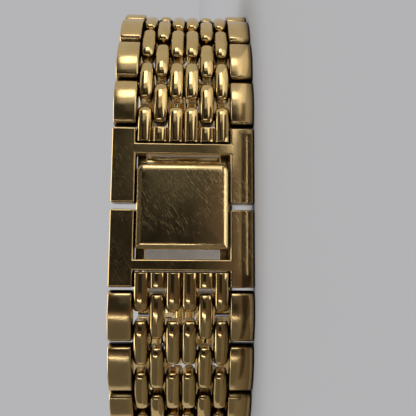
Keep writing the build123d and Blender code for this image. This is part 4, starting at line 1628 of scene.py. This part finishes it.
    def paper(self) -> bpy.types.Material:
        """Backdrop paper: matt near the object, where it keeps the shadow, and an even glow far from it.

        Returns:
            The material.
        """
        graph = Graph("studio_paper")
        place = graph.place()
        flat = graph.stretched(place, (1.0, 1.0, 0.0))
        distance = graph.node("ShaderNodeVectorMath", {"operation": "LENGTH"}, {0: flat}, "Value")
        far = distance.rise(self.glow_start, self.glow_full)
        near = self.drifting(graph, place, self.floor_colour)
        return graph.surface(
            {
                "Base Color": graph.blend(far, near, BLACK),
                "Roughness": 0.9,
                "Specular IOR Level": 0.0,
                "Emission Color": graph.blend(far, BLACK, self.backdrop_colour),
                "Emission Strength": 1.0,
            }
        )

    def sweep(self) -> None:
        """Floor and backdrop in one round sheet: a flat disc, a quarter round and an upright wall.

        A profile of radius and height is turned about the z axis. On the quarter round at angle a the
        radius grows by the bend times sin a and the height is the bend times 1 - cos a.
        """
        flat, bend = self.floor_end, self.bend
        rise = np.linspace(0.0, np.pi / 2, self.bend_rings)
        radius = np.concatenate([self.floor_rings, flat + bend * np.sin(rise), [flat + bend]])
        height = np.concatenate([[0.0, 0.0], bend * (1 - np.cos(rise)), [self.wall]]) - self.floor_drop
        across, along = circle(SWEEP_SIDES)
        rings = grid(radius[:, None] * across, radius[:, None] * along, height[:, None])
        index = np.arange(rings[..., 0].size).reshape(rings.shape[:2])
        after = np.roll(index, -1, axis=1)
        faces = np.stack([index[:-1], index[1:], after[1:], after[:-1]], axis=-1).reshape(-1, 4).tolist()
        points = (rings.reshape(-1, 3) * METRES).tolist()
        mesh = new_mesh("studio_sweep", points, [index[0].tolist(), *faces], self.paper())
        mesh.shade_smooth()
        made = put("studio_sweep", mesh)

    def card(self, card: Card) -> None:
        """Put up one lamp or card.

        Args:
            card: what to put up.
        """
        direction = Vector(card.aim) - Vector(card.place)
        turn = Matrix() if card.outline else direction.to_track_quat("-Z", "Y").to_matrix().to_4x4()
        if card.power:
            data = bpy.data.lights.new(card.name, "AREA")
            data.shape = "RECTANGLE"
            data.size, data.size_y = card.size[0] * METRES, card.size[1] * METRES
            data.energy = card.power
            made = put(card.name, data)
        else:
            points = card.points()
            made = put(card.name, new_mesh(card.name, points, [range(len(points))], self.card_material(card)))
            made.visible_camera = made.visible_diffuse = made.visible_shadow = False
        made.matrix_world = Matrix.Translation(Vector(card.place) * METRES) @ turn

    def world(self) -> None:
        """Plain pale surroundings."""
        world = bpy.data.worlds.new("studio")
        world.use_nodes = True
        background = world.node_tree.nodes["Background"]
        background.inputs["Color"].default_value = (1.0, 1.0, 1.0, 1.0)
        background.inputs["Strength"].default_value = self.world_strength
        bpy.context.scene.world = world

    def build(self) -> None:
        """Set up the whole studio."""
        bpy.context.scene.view_settings.view_transform = "Standard"
        self.world()
        self.sweep()
        for card in self.cards:
            self.card(card)


def hinge_height(name: str) -> float:
    """y of a joint's axis in millimetres."""
    return next(joint["pos_m"][1] for joint in frame["joints"] if joint["name"] == name) / METRES


def main() -> None:
    """Build the camera, the watch and the studio, in that order."""
    logging.basicConfig(level=logging.INFO, format="%(message)s")
    studio = Studio()
    studio.camera()
    bracelet = Bracelet()
    clasp = Clasp(line_y=hinge_height("clasp_comb_12_hinge"))
    head = Head(line_y=hinge_height("case_hinge"))
    for part in (bracelet, Combs(bracelet), clasp, head, InnerWorks()):
        part.build()
        LOG.info("%s finished", type(part).__name__)
    studio.build()


if __name__ == "__main__":
    main()
